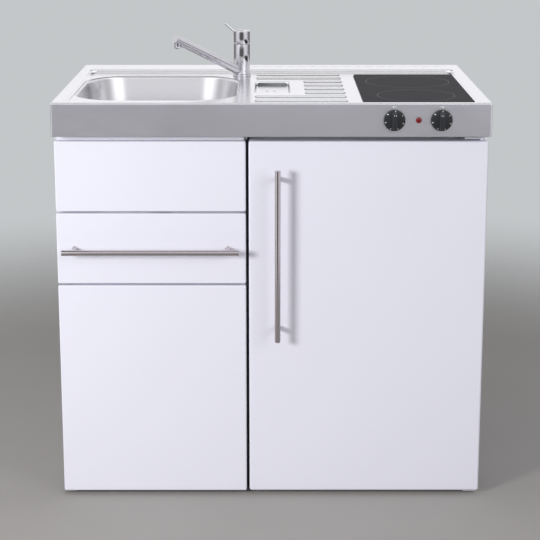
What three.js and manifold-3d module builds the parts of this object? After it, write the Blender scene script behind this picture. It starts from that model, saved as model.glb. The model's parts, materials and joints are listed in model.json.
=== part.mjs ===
// Kitchenette unit: a pressed stainless worktop with bowl, drainer and glass hob, standing on
// a sink unit with fascia, drawer and cupboard, and on a built-under refrigerator.
// Millimetres, +X to the right, +Y to the back, +Z up, the floor at z = 0.

import * as THREE from "three";
import { mergeVertices } from "three/addons/utils/BufferGeometryUtils.js";
import Module from "manifold-3d";

const wasm = await Module();
wasm.setup();

// ---- Driving dimensions -------------------------------------------------------------------

const seat = 0.3; // gap left where one piece rests on, or seals against, another
const runningGap = 0.5; // clearance round what slides or turns

// Worktop
const topWidth = 900;
const topDepth = 600;
const topHeight = 860;
const topSheet = 1.5;
const topCorner = 3.5;
const apronHeight = 70;
const apronHem = 12;
const rearLip = 30;
const deckDrop = 7;
const rimFront = 12;
const rimSide = 20;
const rimRear = 88;
const stepRun = 8;
const deckCorner = 18;

// Vent slots in the rear rim
const slotCount = 17;
const slotLength = 21;
const slotWidth = 5;
const slotPitch = 27;
const slotFromRear = 35.5;
const slotRowFromRight = 43;

// Bowl
const bowlLength = 340;
const bowlWidth = 360;
const bowlDepth = 130;
const bowlCorner = 92;
const bowlDraft = 14;
const bowlFloorRadius = 34;
const bowlSheet = 1.2;
const bowlFlange = 12;
const bowlBehindMiddle = 5;
const bowlFromUnitCentre = 4;

// Drainer ribs and the overflow recess between them
const ribCount = 8;
const ribToTap = 31.6;
const ribWidth = 14;
const ribHeight = 3;
const firstShortRib = 2;
const lastShortRib = 5;
const ribFrontMargin = 63;
const ribRearMargin = 45;
const ribToGlass = 29;
const shortRibBehindMiddle = 7.5;
const overflowToRib = 29;
const overflowDrop = 8;
const overflowStep = 4;
const overflowCorner = 9;
const overflowSlotMargin = 5.5;
const overflowSlotReach = 6; // in from the foot of the recess's rear wall
const overflowSlotHeight = 5;
const overflowHoleWidth = 4.6;
const overflowHoleLength = 9;
const overflowHoleSpacing = 15.5;
const overflowHoleRows = 28;
const overflowHoleShift = 3;
const overflowHolesFromFront = 66;
const overflowTroughDepth = 14; // below the recess
const overflowTroughWall = 2;
const overflowTroughMargin = 8; // round the recess
const overflowPipeRadius = 8;
const overflowPipeWall = 1.5;
const overflowPipeLevel = 24; // above the apron's lower edge
const overflowPipeToPanel = 22;
const overflowPipeOffBowl = 21.1;
const overflowPipeSweep = 45; // from the bowl's corner in under its floor

// Waste and trap
const wasteFlangeRadius = 42;
const wasteBoreRadius = 26;
const wasteTailRadius = 20;
const wasteWall = 2;
const wasteHeight = 50;
const basketDepth = 20;
const basketKnobHeight = 11;
const trapPipeRadius = 20;
const trapPipeDrop = 36;
const trapRadius = 32;
const trapHeight = 104;
const trapFromRear = 86;
const outletRadius = 20;
const outletDrop = 38;
const trapChamfer = 10;
const outletFromRear = 8;

// Tap
const tapRadius = 19.5;
const tapFromStep = 55;
const tapFromBowl = 50.4;
const tapBaseRadius = 21;
const tapBaseHeight = 5;
const tapShankRadius = 16;
const tapShankLength = 46;
const tapHoleClearance = 1;
const tapHeadHeight = 30;
const tapHeight = 105;
const tapNeckRadius = 12;
const tapNeckHeight = 8;
const spoutRadius = 10;
const spoutReach = 205;
const spoutRise = 24.6; // degrees above level
const spoutRootHeight = 8.5;
const spoutBearing = 225; // degrees from +X, towards the middle of the bowl
const aeratorRadius = 8;
const aeratorHeight = 9;
const leverRadius = 3;
const leverReach = 37;
const leverRise = 42; // degrees above level
const leverBearing = 180;
const leverPivotDrop = 18;
const leverBallRadius = 4;

// Hob
const glassWidth = 228;
const glassDepth = 412;
const glassThickness = 4;
const glassCorner = 4;
const glassFromRight = 31;
const glassFrontShare = 0.2955; // of the deck's spare depth
const glassLap = 9;
const panInset = 4;
const panDepth = 36;
const panSheet = 1.2;
const rearZoneRadius = 90;
const frontZoneRadius = 72.5;
const rearHeaterGap = 24.8;
const frontHeaterGap = 8.3;
const panToSwitch = 5.2;
const heaterHeight = 30;
const heaterWall = 8;

// Hob switches, their knobs and the pilot lamp
const knobRadius = 22;
const knobSkirt = 5;
const knobDepth = 20;
const knobCrown = 2.5;
const gripWidth = 12;
const gripLength = 36;
const gripTaper = 1;
const knobFromRight = 103.5;
const knobSpacing = 96;
const knobDrop = 35;
const spindleRadius = 3;
const switchSize = 34;
const switchDepth = 35;
const lampFromRight = 150;
const lampDrop = 35;
const lampRadius = 6.3;
const lampBarrelRadius = 4.5;
const lampBarrelLength = 16;
const lampProud = 3;

// Sink unit
const sinkUnitWidth = 400;
const panelThickness = 16;
const backThickness = 8;
const backHeight = 430;
const carcassRear = 10;
const frontThickness = 18;
const frontEase = 2.5;
const frontSetback = 20;
const frontClearance = 4.5;
const frontBottom = 10;
const frontTopGap = 12;
const frontGap = 4;
const frontSideReveal = 2.5;
const unitGap = 6;
const fasciaHeight = 149;
const drawerFrontHeight = 151;
const fasciaFlange = 27;
const fasciaFlangeSheet = 1.5;
const fasciaLipSheet = 2;
const fasciaLipInset = 4;
const footRadius = 16;
const footInset = 25;

// Drawer
const drawerDepth = 380;
const drawerSideHeight = 108;
const drawerRaise = 18;
const drawerSheet = 2;
const runnerDepth = 12;
const runnerHeight = 30;
const runnerWall = 1.5;
const railReach = 8;
const railHeight = 10;

// Bar handles
const barRadius = 6;
const barLength = 366;
const postRadius = 5;
const postSpacing = 320;
const barStandOff = 35;
const fridgeBarInset = 60;
const fridgeBarHeight = 540;

// Hinges: pins in brackets above and below each door
const pinRadius = 3.5;
const pinLength = 12;
const pinClearance = 0.5;
const cupboardPinInset = 6.5;
const cupboardPinDepth = 13;
const bracketSheet = 2;
const bracketWidth = 20;
const fridgePinInset = 12.5;
const fridgePinDepth = 18;
const fridgeBracketWidth = 44;
const fridgeBracketSheet = 3;

// Refrigerator
const fridgeSideGap = 4;
const wallThickness = 38;
const rearWallThickness = 45;
const floorWallThickness = 45;
const fridgeBottom = 22;
const fridgeRear = 50;
const fridgeFootSetback = 60;
const doorThickness = 45;
const sealThickness = 12;
const bayDepth = 155;
const bayHeight = 218;
const linerSheet = 2;
const linerFlange = 12;
const ledgeReach = 5;
const ledgeHeight = 4;
const shelfGlass = 4;
const shelfSetback = 98;
const shelfRearGap = 12;
const topSpaceHeight = 126;
const freezerHeight = 123;
const freezerSheet = 3;
const freezerSetback = 135;
const cheekReach = 12;
const flapThickness = 6;
const flapPullWidth = 114;
const flapPullHeight = 8;
const flapPullDepth = 8;
const flapPinRadius = 2;
const crisperSheet = 2.5;
const crisperTopGap = 24;
const thermostatDepth = 110;
const thermostatHeight = 50;
const thermostatWidth = 28;
const thermostatSetback = 163;
const thermostatDrop = 15;
const dialFromHousingFront = 30;
const dialRadius = 16;
const dialThickness = 11;
const dialStemRadius = 3;
const gasketWidth = 16;
const gasketOverlap = 6;
const doorLinerSheet = 4.5;
const ridgeWidth = 12;
const ridgeReach = 25;
const ridgeInset = 16;
const ridgeHeight = 525;
const binSheet = 2.5;
const binDepth = 88;
const lowerBinHeight = 120;
const lowerBinRaise = 20;
const upperBinHeight = 72;
const upperBinRaise = 305;
const compressorRadius = 68;
const compressorHeight = 165;
const compressorFromRight = 146;
const traySheet = 3.5;
const skidWidth = 30;
const skidLength = 50;
const skidInset = 6;
const skidFromRear = 10;
const coilTubeRadius = 2.4;
const coilRuns = 11;
const coilPitch = 46;
const coilSpan = 400;
const coilStandOff = 14;
const coilDrop = 40;
const strapWidth = 12;
const strapSheet = 2;
const strapFootInset = 20;
const strapTail = 12;

// ---- Levels and planes worked out from them -------------------------------------------------

const front = -topDepth / 2;
const rear = topDepth / 2;
const left = -topWidth / 2;
const right = topWidth / 2;
const deck = topHeight - deckDrop;
const underDeck = deck - topSheet;
const apronBottom = topHeight - apronHeight;
const carcassTop = apronBottom - seat;
const unitEdge = left + sinkUnitWidth;

const frontFace = front + frontSetback;
const frontBack = frontFace + frontThickness;
const carcassFront = frontBack + frontClearance;
const carcassBack = rear - carcassRear;
const frontTop = apronBottom - frontTopGap;
const frontLeft = left + frontSideReveal;
const frontRight = unitEdge - unitGap / 2;
const fasciaBottom = frontTop - fasciaHeight;
const drawerFrontTop = fasciaBottom - frontGap;
const drawerFrontBottom = drawerFrontTop - drawerFrontHeight;
const cupboardTop = drawerFrontBottom - frontGap;
const sideInnerLeft = frontLeft + panelThickness;
const sideInnerRight = unitEdge - panelThickness;

const deckFront = front + rimFront;
const deckRear = rear - rimRear;
const bowlX = (left + unitEdge) / 2 + bowlFromUnitCentre;
const bowlY = (deckFront + deckRear) / 2 + bowlBehindMiddle;
const bowlFloor = deck - bowlDepth;

const glassRight = right - glassFromRight;
const glassLeft = glassRight - glassWidth;
const glassFront = deckFront + glassFrontShare * (deckRear - deckFront - glassDepth);
const glassRear = glassFront + glassDepth;
const glassX = (glassLeft + glassRight) / 2;
const ribRight = glassLeft - ribToGlass;
const tapY = deckRear - tapFromStep;
const bowlCornerX = bowlX + bowlLength / 2 - bowlCorner;
const bowlCornerY = bowlY + bowlWidth / 2 - bowlCorner;
const tapX = bowlCornerX + Math.sqrt((bowlCorner + tapFromBowl) ** 2 - (tapY - bowlCornerY) ** 2);
const ribLeft = tapX + ribToTap;
const ribPitch = (deckRear - deckFront - ribFrontMargin - ribRearMargin) / (ribCount - 1);
const shortRibLeft = (ribLeft + ribRight) / 2 + shortRibBehindMiddle;
const overflowRight = shortRibLeft - overflowToRib;

const fridgeLeft = unitEdge + fridgeSideGap;
const fridgeRight = right - fridgeSideGap;
const doorLeft = unitEdge + unitGap / 2;
const doorRight = right - frontSideReveal;
const doorBack = frontFace + doorThickness;
const fridgeFront = doorBack + sealThickness;
const fridgeBack = rear - fridgeRear;
const roomLeft = fridgeLeft + wallThickness;
const roomRight = fridgeRight - wallThickness;
const roomBack = fridgeBack - rearWallThickness;
const roomTop = carcassTop - wallThickness;
const roomFloor = fridgeBottom + floorWallThickness;
const bayFront = fridgeBack - bayDepth;
const bayTop = fridgeBottom + bayHeight;
const roomStepY = bayFront - wallThickness;
const roomStepZ = bayTop + wallThickness;

// ---- Solids ---------------------------------------------------------------------------------

/** Merges shared corners, drops slivers of no area and turns every face outwards. */
function closed(geometry) {
  const bare = geometry.clone();
  bare.deleteAttribute("normal");
  bare.deleteAttribute("uv");
  const merged = mergeVertices(bare, 1e-4);
  const index = merged.index.array;
  const at = merged.attributes.position;
  const a = new THREE.Vector3();
  const b = new THREE.Vector3();
  const c = new THREE.Vector3();
  const kept = [];
  let volume = 0;
  for (let i = 0; i < index.length; i += 3) {
    const [p, q, r] = [index[i], index[i + 1], index[i + 2]];
    if (p === q || q === r || r === p) continue;
    kept.push(p, q, r);
    a.fromBufferAttribute(at, p);
    b.fromBufferAttribute(at, q);
    c.fromBufferAttribute(at, r);
    volume += a.dot(b.cross(c));
  }
  merged.setIndex(volume < 0 ? kept.reverse() : kept);
  return merged;
}

function toSolid(geometry) {
  const shape = closed(geometry);
  return new wasm.Manifold(new wasm.Mesh({
    numProp: 3,
    vertProperties: new Float32Array(shape.attributes.position.array),
    triVerts: new Uint32Array(shape.index.array),
  }));
}

function fromSolid(solid) {
  const { vertProperties, triVerts } = solid.getMesh();
  const geometry = new THREE.BufferGeometry();
  geometry.setAttribute("position", new THREE.BufferAttribute(vertProperties, 3));
  geometry.setIndex(new THREE.BufferAttribute(triVerts, 1));
  return geometry;
}

/** Joins the first list of geometries and cuts the second list out of them. */
function carve(pieces, cuts = []) {
  const joined = pieces.map(toSolid).reduce((whole, piece) => whole.add(piece));
  return fromSolid(cuts.map(toSolid).reduce((whole, cut) => whole.subtract(cut), joined));
}

function box([x0, x1], [y0, y1], [z0, z1]) {
  const geometry = new THREE.BoxGeometry(x1 - x0, y1 - y0, z1 - z0);
  return geometry.translate((x0 + x1) / 2, (y0 + y1) / 2, (z0 + z1) / 2);
}

/** A cylinder of the given radius from one point to another. */
function rod(from, to, radius, sides = 16) {
  const start = new THREE.Vector3(...from);
  const along = new THREE.Vector3(...to).sub(start);
  const geometry = new THREE.CylinderGeometry(radius, radius, along.length(), sides);
  const turn = new THREE.Quaternion().setFromUnitVectors(
    new THREE.Vector3(0, 1, 0), along.clone().normalize());
  return geometry.applyQuaternion(turn).translate(...start.addScaledVector(along, 0.5).toArray());
}

/** A turned shape about +Z from [radius, height] points. */
function turned(profile, sides = 24) {
  const points = profile.map(([radius, height]) => new THREE.Vector2(radius, height));
  return closed(new THREE.LatheGeometry(points, sides).rotateX(Math.PI / 2));
}

/** Corner points of a rectangle with rounded corners, anticlockwise. */
function roundedRectangle([x0, x1], [y0, y1], radius, steps = 6) {
  const corners = [[x1, y1], [x0, y1], [x0, y0], [x1, y0]];
  return corners.flatMap(([x, y], quarter) => {
    const cx = x === x1 ? x1 - radius : x0 + radius;
    const cy = y === y1 ? y1 - radius : y0 + radius;
    return Array.from({ length: steps + 1 }, (_, i) => {
      const angle = (quarter + i / steps) * Math.PI / 2;
      return new THREE.Vector2(cx + radius * Math.cos(angle), cy + radius * Math.sin(angle));
    });
  });
}

/** A solid through like outlines at rising heights, capped at both ends. */
function loft(sections) {
  const count = sections[0].outline.length;
  const positions = sections.flatMap(({ outline, z }) => outline.flatMap((p) => [p.x, p.y, z]));
  const faces = [];
  for (let ring = 0; ring < sections.length - 1; ring++) {
    for (let i = 0; i < count; i++) {
      const j = (i + 1) % count;
      const [a, b] = [ring * count + i, ring * count + j];
      faces.push(a, b, b + count, a, b + count, a + count);
    }
  }
  const last = (sections.length - 1) * count;
  const bottomCap = THREE.ShapeUtils.triangulateShape(sections[0].outline, []);
  const topCap = THREE.ShapeUtils.triangulateShape(sections.at(-1).outline, []);
  for (const [a, b, c] of bottomCap) faces.push(c, b, a);
  for (const [a, b, c] of topCap) faces.push(last + a, last + b, last + c);
  const geometry = new THREE.BufferGeometry();
  geometry.setAttribute("position", new THREE.Float32BufferAttribute(positions, 3));
  geometry.setIndex(faces);
  return geometry;
}

function prism(outline, z0, z1) {
  return loft([{ outline, z: z0 }, { outline, z: z1 }]);
}

/** A route that an extrusion follows through its own points, with none added between them. */
class Route extends THREE.Curve {
  constructor(points) {
    super();
    this.points = points;
  }

  getPointAt(u, target = new THREE.Vector3()) {
    return target.copy(this.points[Math.round(u * (this.points.length - 1))]);
  }

  getTangentAt(u, target = new THREE.Vector3()) {
    const i = Math.round(u * (this.points.length - 1));
    const before = this.points[Math.max(i - 1, 0)];
    const after = this.points[Math.min(i + 1, this.points.length - 1)];
    return target.copy(after).sub(before).normalize();
  }
}

function circle(radius, sides) {
  return Array.from({ length: sides }, (_, i) => {
    const angle = 2 * Math.PI * i / sides;
    return new THREE.Vector2(radius * Math.cos(angle), radius * Math.sin(angle));
  });
}

/** A tube along a route, with a bore where a wall is given. */
function tube(points, radius, wall = 0, sides = 10) {
  const section = new THREE.Shape(circle(radius, sides));
  if (wall > 0) section.holes.push(new THREE.Path(circle(radius - wall, sides).reverse()));
  return closed(new THREE.ExtrudeGeometry(section, {
    steps: points.length - 1, extrudePath: new Route(points), bevelEnabled: false,
  }));
}

/** A smooth route through corner points, its two ends straight. */
function smoothRoute(corners, steps) {
  const path = corners.map((corner) => new THREE.Vector3(...corner));
  const middle = new THREE.CatmullRomCurve3(path.slice(1, -1), false, "centripetal");
  return [path[0], ...middle.getSpacedPoints(steps), path.at(-1)];
}

// ---- Materials ------------------------------------------------------------------------------

function material(color, roughness, metalness = 0) {
  return new THREE.MeshStandardMaterial({ color, roughness, metalness });
}

const deckSteel = material(0xdcdde0, 0.28, 1);
const brushedSteel = material(0xb8b4b4, 0.35, 1);
const chrome = material(0xe4e4ea, 0.08, 1);
const whiteEnamel = material(0xeaeaf4, 0.35);
const carcassWhite = material(0xe4e4e8, 0.5);
const zincSteel = material(0xa9abae, 0.45, 1);
const blackGlass = material(0x2b2b30, 0.08);
const clearGlass = material(0xcfe4e0, 0.05);
const blackPlastic = material(0x25262b, 0.45);
const whitePlastic = material(0xf0f0f0, 0.4);
const greyPlastic = material(0xb9bcc0, 0.5);
const redLens = material(0xb01c26, 0.15);
const insulation = material(0xd8d2c4, 0.9);
const sealRubber = material(0xe2e2e0, 0.7);
const blackPaint = material(0x1b1c1e, 0.5);
const tealPlastic = material(0xd7e6ea, 0.25);

function place(parent, name, geometry, finish, position = [0, 0, 0]) {
  const mesh = new THREE.Mesh(geometry, finish);
  mesh.name = name;
  mesh.position.set(...position);
  parent.add(mesh);
  return mesh;
}

// ---- Worktop --------------------------------------------------------------------------------

function ribRow(index) {
  return deckFront + ribFrontMargin + index * ribPitch;
}

function ribSolid(index) {
  const short = index >= firstShortRib && index <= lastShortRib;
  const start = short ? shortRibLeft : ribLeft;
  const y = ribRow(index);
  const half = ribWidth / 2;
  const crown = half - ribHeight;
  const foot = roundedRectangle([start, ribRight], [y - half, y + half], half - 0.01, 3);
  const top = roundedRectangle(
    [start + ribHeight, ribRight - ribHeight], [y - crown, y + crown], crown - 0.01, 3);
  return loft([
    { outline: foot, z: deck - topSheet / 2 },
    { outline: foot, z: deck },
    { outline: top, z: deck + ribHeight },
  ]);
}

const overflowRear = ribRow(lastShortRib) + ribWidth / 2;
const overflowFront = ribRow(firstShortRib);

/** The hollow pressed into the sheet for the deck; grown by the sheet for its underside. */
function deckHollow(grow) {
  const at = (inset, z) => ({
    outline: roundedRectangle(
      [left + rimSide + inset, right - rimSide - inset],
      [front + rimFront + inset, rear - rimRear - inset], deckCorner - inset / 2),
    z,
  });
  return loft([
    at(stepRun - grow, deck - grow),
    at(-grow, topHeight - grow),
    at(-grow, topHeight + 1),
  ]);
}

function overflowHollow(grow) {
  const at = (inset, z) => ({
    outline: roundedRectangle(
      [ribLeft + inset, overflowRight - inset],
      [overflowFront + inset, overflowRear - inset], overflowCorner - inset / 2, 4),
    z,
  });
  const floor = deck - overflowDrop;
  return loft([
    at(overflowStep - grow, floor - grow),
    at(-grow, deck - grow),
    at(-grow, deck + (grow > 0 ? 0 : 1)),
  ]);
}

function ventSlot(index) {
  const x1 = right - slotRowFromRight - index * slotPitch;
  const y = rear - slotFromRear;
  const outline = roundedRectangle(
    [x1 - slotLength, x1], [y - slotWidth / 2, y + slotWidth / 2], slotWidth / 2 - 0.01, 2);
  return prism(outline, topHeight - 2 * topSheet, topHeight + 1);
}

const recessFloor = deck - overflowDrop;
const overflowX = (ribLeft + overflowRight) / 2 - overflowHoleShift;
const overflowY = overflowFront + overflowHolesFromFront;
const knobY = front;
const knobXs = [right - knobFromRight - knobSpacing, right - knobFromRight];
const knobZ = topHeight - knobDrop;
const lampX = right - lampFromRight;
const lampZ = topHeight - lampDrop;

/** A box with its middle at x and y. */
function boxAt(x, y, width, depth, heights) {
  return box([x - width / 2, x + width / 2], [y - depth / 2, y + depth / 2], heights);
}

function overflowHoles() {
  const heights = [recessFloor - 5, recessFloor + 1];
  return [-1, 1].flatMap((sx) => [-1, 1].map((sy) => boxAt(
    overflowX + sx * overflowHoleSpacing / 2, overflowY + sy * overflowHoleRows / 2,
    overflowHoleWidth, overflowHoleLength, heights)));
}

function worktop() {
  const block = (inset, z0, z1) => prism(
    roundedRectangle([left + inset, right - inset], [front + inset, rear - inset],
      topCorner - Math.min(inset, topCorner - 1), 3), z0, z1);
  const outer = toSolid(block(0, apronBottom, topHeight))
    .subtract(toSolid(deckHollow(0)))
    .subtract(toSolid(overflowHollow(0)));
  const inner = toSolid(block(topSheet, apronBottom - 1, topHeight - topSheet))
    .subtract(toSolid(deckHollow(topSheet)))
    .subtract(toSolid(overflowHollow(topSheet)));
  const hem = carve([block(topSheet / 2, apronBottom, apronBottom + topSheet)],
    [box([left + apronHem, right - apronHem], [front + apronHem, rear + 1],
      [apronBottom - 1, apronBottom + topSheet + 1])]);
  const rearCut = box([left - 1, right + 1], [rear - 2 * topSheet, rear + 1],
    [apronBottom - 1, topHeight - rearLip]);
  const bowlHole = prism(roundedRectangle(
    [bowlX - bowlLength / 2, bowlX + bowlLength / 2],
    [bowlY - bowlWidth / 2, bowlY + bowlWidth / 2], bowlCorner, 8), underDeck - 5, deck + 1);
  const hobHole = box([glassLeft + glassLap, glassRight - glassLap],
    [glassFront + glassLap, glassRear - glassLap], [underDeck - 5, deck + 1]);
  const overflowSlot = box(
    [ribLeft + overflowSlotMargin, overflowRight - overflowSlotMargin],
    [overflowRear - overflowStep - overflowSlotReach, overflowRear + 2 * topSheet],
    [recessFloor - 5, recessFloor + overflowSlotHeight]);
  const tapHole = rod([tapX, tapY, underDeck - 5], [tapX, tapY, deck + 1],
    tapShankRadius + tapHoleClearance, 20);
  const knobHoles = knobXs.map((x) => rod([x, front - 1, knobZ], [x, front + 5, knobZ],
    spindleRadius + tapHoleClearance, 12));
  const lampHole = rod([lampX, front - 1, lampZ], [lampX, front + 5, lampZ],
    lampBarrelRadius + seat, 12);
  const slots = Array.from({ length: slotCount }, (_, i) => ventSlot(i));
  const ribs = Array.from({ length: ribCount }, (_, i) => ribSolid(i));
  const sheet = outer.subtract(inner);
  const pressed = ribs.reduce((whole, rib) => whole.add(toSolid(rib)), sheet)
    .add(toSolid(hem));
  const cuts = [rearCut, bowlHole, hobHole, overflowSlot, tapHole, lampHole,
    ...overflowHoles(), ...knobHoles, ...slots];
  return fromSolid(cuts.reduce((whole, cut) => whole.subtract(toSolid(cut)), pressed));
}

// ---- Bowl, waste and trap -------------------------------------------------------------------

/** The inside of the bowl, or its outside where it is grown by the sheet. */
function bowlForm(grow, top) {
  const at = (inset, z) => ({
    outline: roundedRectangle(
      [bowlX - bowlLength / 2 + inset - grow, bowlX + bowlLength / 2 - inset + grow],
      [bowlY - bowlWidth / 2 + inset - grow, bowlY + bowlWidth / 2 - inset + grow],
      bowlCorner - inset / 2 + grow, 8),
    z,
  });
  const floor = bowlFloor - grow;
  const bend = (angle) => [
    bowlDraft + bowlFloorRadius * (1 - Math.cos(angle)),
    floor + bowlFloorRadius * (1 - Math.sin(angle)),
  ];
  const bends = [90, 60, 30, 0].map((degrees) => bend(THREE.MathUtils.degToRad(degrees)));
  return loft([...bends.map(([inset, z]) => at(inset, z)), at(0, top)]);
}

function sinkBowl() {
  const flangeTop = underDeck - seat;
  const flange = prism(roundedRectangle(
    [bowlX - bowlLength / 2 - bowlFlange, bowlX + bowlLength / 2 + bowlFlange],
    [bowlY - bowlWidth / 2 - bowlFlange, bowlY + bowlWidth / 2 + bowlFlange],
    bowlCorner + bowlFlange, 8), flangeTop - bowlSheet, flangeTop);
  const wasteHole = rod([bowlX, bowlY, bowlFloor - 10], [bowlX, bowlY, bowlFloor + 10],
    wasteBoreRadius + wasteWall + seat, 24);
  return carve([bowlForm(bowlSheet, flangeTop), flange],
    [bowlForm(0, flangeTop + 0.01), wasteHole]);
}

function wasteFlange() {
  const top = bowlFloor + seat + wasteWall;
  const boss = bowlFloor - basketDepth - 10;
  const bottom = bowlFloor - wasteHeight;
  const body = turned([
    [wasteTailRadius - wasteWall, bottom],
    [wasteTailRadius, bottom],
    [wasteTailRadius, boss],
    [wasteBoreRadius + wasteWall, boss],
    [wasteBoreRadius + wasteWall, bowlFloor + seat],
    [wasteFlangeRadius, bowlFloor + seat],
    [wasteBoreRadius + 4, top],
    [wasteBoreRadius, top - 2],
    [wasteBoreRadius, boss + wasteWall],
    [wasteTailRadius - wasteWall, boss + wasteWall],
    [wasteTailRadius - wasteWall, bottom],
  ], 24).translate(bowlX, bowlY, 0);
  return body;
}

function strainerBasket() {
  const rim = bowlFloor + seat + wasteWall;
  const radius = wasteBoreRadius - runningGap;
  const floor = bowlFloor - basketDepth;
  const cup = turned([
    [0, floor],
    [radius - 6, floor],
    [radius, floor + 6],
    [radius, rim - 1],
    [radius - 1.5, rim - 1],
    [radius - 1.5, floor + 7],
    [radius - 7, floor + 1.5],
    [3, floor + 1.5],
    [3, rim + basketKnobHeight - 5],
    [8, rim + basketKnobHeight - 4],
    [8, rim + basketKnobHeight],
    [0, rim + basketKnobHeight],
  ], 24);
  const holes = Array.from({ length: 8 }, (_, i) => {
    const angle = i * Math.PI / 4;
    const [x, y] = [13 * Math.cos(angle), 13 * Math.sin(angle)];
    return rod([x, y, floor - 1], [x, y, floor + 3], 2.2, 8);
  });
  return carve([cup], holes);
}

const trapY = rear - trapFromRear;
const trapTop = bowlFloor - wasteHeight - trapPipeDrop - 24;

function trapPipe() {
  const start = bowlFloor - wasteHeight - seat;
  const level = start - trapPipeDrop;
  const bend = trapPipeRadius * 1.1;
  return tube(smoothRoute([
    [bowlX, bowlY, start],
    [bowlX, bowlY, start - 8],
    [bowlX, bowlY + bend * 0.5, level + bend * 0.35],
    [bowlX, bowlY + bend * 1.6, level],
    [bowlX, (bowlY + trapY) / 2, level],
    [bowlX, trapY - bend * 1.2, level],
    [bowlX, trapY - bend * 0.2, level - bend * 0.25],
    [bowlX, trapY, trapTop + seat + 6],
    [bowlX, trapY, trapTop + seat],
  ], 14), trapPipeRadius, wasteWall, 10);
}

function trapBottle() {
  const bottom = trapTop - trapHeight;
  const outletZ = trapTop - outletDrop;
  const outletEnd = rear - outletFromRear;
  const bottle = turned([
    [0, bottom],
    [trapRadius - 8, bottom],
    [trapRadius, bottom + trapChamfer],
    [trapRadius, trapTop - trapChamfer],
    [trapPipeRadius + 3, trapTop],
    [0, trapTop],
  ], 24).translate(bowlX, trapY, 0);
  const cavity = rod([bowlX, trapY, bottom + trapChamfer], [bowlX, trapY, trapTop - trapChamfer],
    trapRadius - wasteWall, 24);
  const mouth = rod([bowlX, trapY, trapTop - 20], [bowlX, trapY, trapTop + 1],
    trapPipeRadius - wasteWall, 16);
  const outlet = rod([bowlX, trapY, outletZ], [bowlX, outletEnd, outletZ], outletRadius, 16);
  const outletBore = rod([bowlX, trapY, outletZ], [bowlX, outletEnd + 1, outletZ],
    outletRadius - wasteWall, 16);
  return carve([bottle, outlet], [cavity, mouth, outletBore]);
}

/** The trough that catches the water under the recess, and the hose that leads down from it. */
function overflowPipe() {
  const rim = underDeck - seat;
  const top = recessFloor - topSheet - overflowTroughDepth;
  const trough = (inset, z0, z1) => prism(roundedRectangle(
    [ribLeft - overflowTroughMargin + inset, overflowRight + overflowTroughMargin - inset],
    [overflowFront - overflowTroughMargin + inset, overflowRear + overflowTroughMargin - inset],
    overflowCorner - inset, 3), z0, z1);
  const outlet = rod([overflowX, overflowY, top - 2], [overflowX, overflowY, rim],
    overflowPipeRadius - overflowPipeWall, 10);
  const passZ = apronBottom + overflowPipeLevel;
  const cornerX = sideInnerRight - overflowPipeToPanel;
  const cornerY = bowlY - bowlWidth / 2 + bowlCorner
    - Math.sqrt((bowlCorner + overflowPipeOffBowl) ** 2 - (cornerX - bowlCornerX) ** 2);
  const wasteZ = bowlFloor - wasteHeight / 2 - 8;
  const reach = (wasteBoreRadius + wasteWall + 4) * Math.SQRT1_2;
  const stub = 2.5 * overflowPipeRadius;
  const at = (share, from, to) => from + share * (to - from);
  const hose = tube(smoothRoute([
    [overflowX, overflowY, top + 1],
    [overflowX, overflowY, top - 2],
    [overflowX, overflowY, top - 5],
    [at(0.07, overflowX, cornerX), at(0.1, overflowY, cornerY), passZ],
    [at(0.47, overflowX, cornerX), at(0.47, overflowY, cornerY), passZ - 2],
    [cornerX + 14, cornerY + 16, passZ - 4],
    [cornerX, cornerY, passZ - 22],
    [cornerX, cornerY, bowlFloor + 10],
    [cornerX - 6, cornerY + 6, bowlFloor - 20],
    [cornerX - overflowPipeSweep, cornerY + overflowPipeSweep, wasteZ],
    [bowlX + reach + stub, bowlY - reach - stub, wasteZ],
    [bowlX + reach, bowlY - reach, wasteZ],
  ], 20), overflowPipeRadius, overflowPipeWall, 7);
  return carve([trough(0, top, rim), hose],
    [trough(overflowTroughWall, top + overflowTroughWall, rim + 1), outlet]);
}

function buildSink(unit) {
  place(unit, "sink_bowl", sinkBowl(), deckSteel);
  place(unit, "waste_flange", wasteFlange(), chrome);
  place(unit, "strainer_basket", strainerBasket(), chrome, [bowlX, bowlY, 0]);
  place(unit, "trap_pipe", trapPipe(), whitePlastic);
  place(unit, "trap_bottle", trapBottle(), whitePlastic);
  place(unit, "overflow_pipe", overflowPipe(), greyPlastic);
}

// ---- Tap ------------------------------------------------------------------------------------

function tapBase() {
  return turned([
    [tapShankRadius - 6, -tapShankLength],
    [tapShankRadius, -tapShankLength],
    [tapShankRadius, seat],
    [tapBaseRadius, seat],
    [tapBaseRadius, tapBaseHeight - 1.5],
    [tapBaseRadius - 1.5, tapBaseHeight],
    [tapShankRadius - 6, tapBaseHeight],
    [tapShankRadius - 6, -tapShankLength],
  ], 24);
}

const bodyTop = tapHeight - tapHeadHeight;
const spoutSlope = THREE.MathUtils.degToRad(spoutRise);

function spoutPoint(reach) {
  return [reach, 0, spoutRootHeight + reach * Math.tan(spoutSlope)];
}

/** The column and its straight spout, cast as one piece, with the spout along +X. */
function tapBody() {
  const bottom = tapBaseHeight + seat;
  const column = turned([
    [0, bottom],
    [tapRadius, bottom],
    [tapRadius, bodyTop - 1],
    [tapRadius - 1, bodyTop],
    [tapNeckRadius, bodyTop],
    [tapNeckRadius, bodyTop + tapNeckHeight],
    [0, bodyTop + tapNeckHeight],
  ], 32);
  const spout = rod(spoutPoint(tapRadius * 0.7), spoutPoint(spoutReach), spoutRadius, 20);
  const under = box([0, tapRadius * 2], [-tapRadius * 2, tapRadius * 2], [-20, bottom]);
  const [x, y, z] = spoutPoint(spoutReach - aeratorRadius);
  const socket = rod([x, y, z - spoutRadius - aeratorHeight], [x, y, z],
    aeratorRadius + seat, 16);
  return carve([column, spout], [under, socket]);
}

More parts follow.
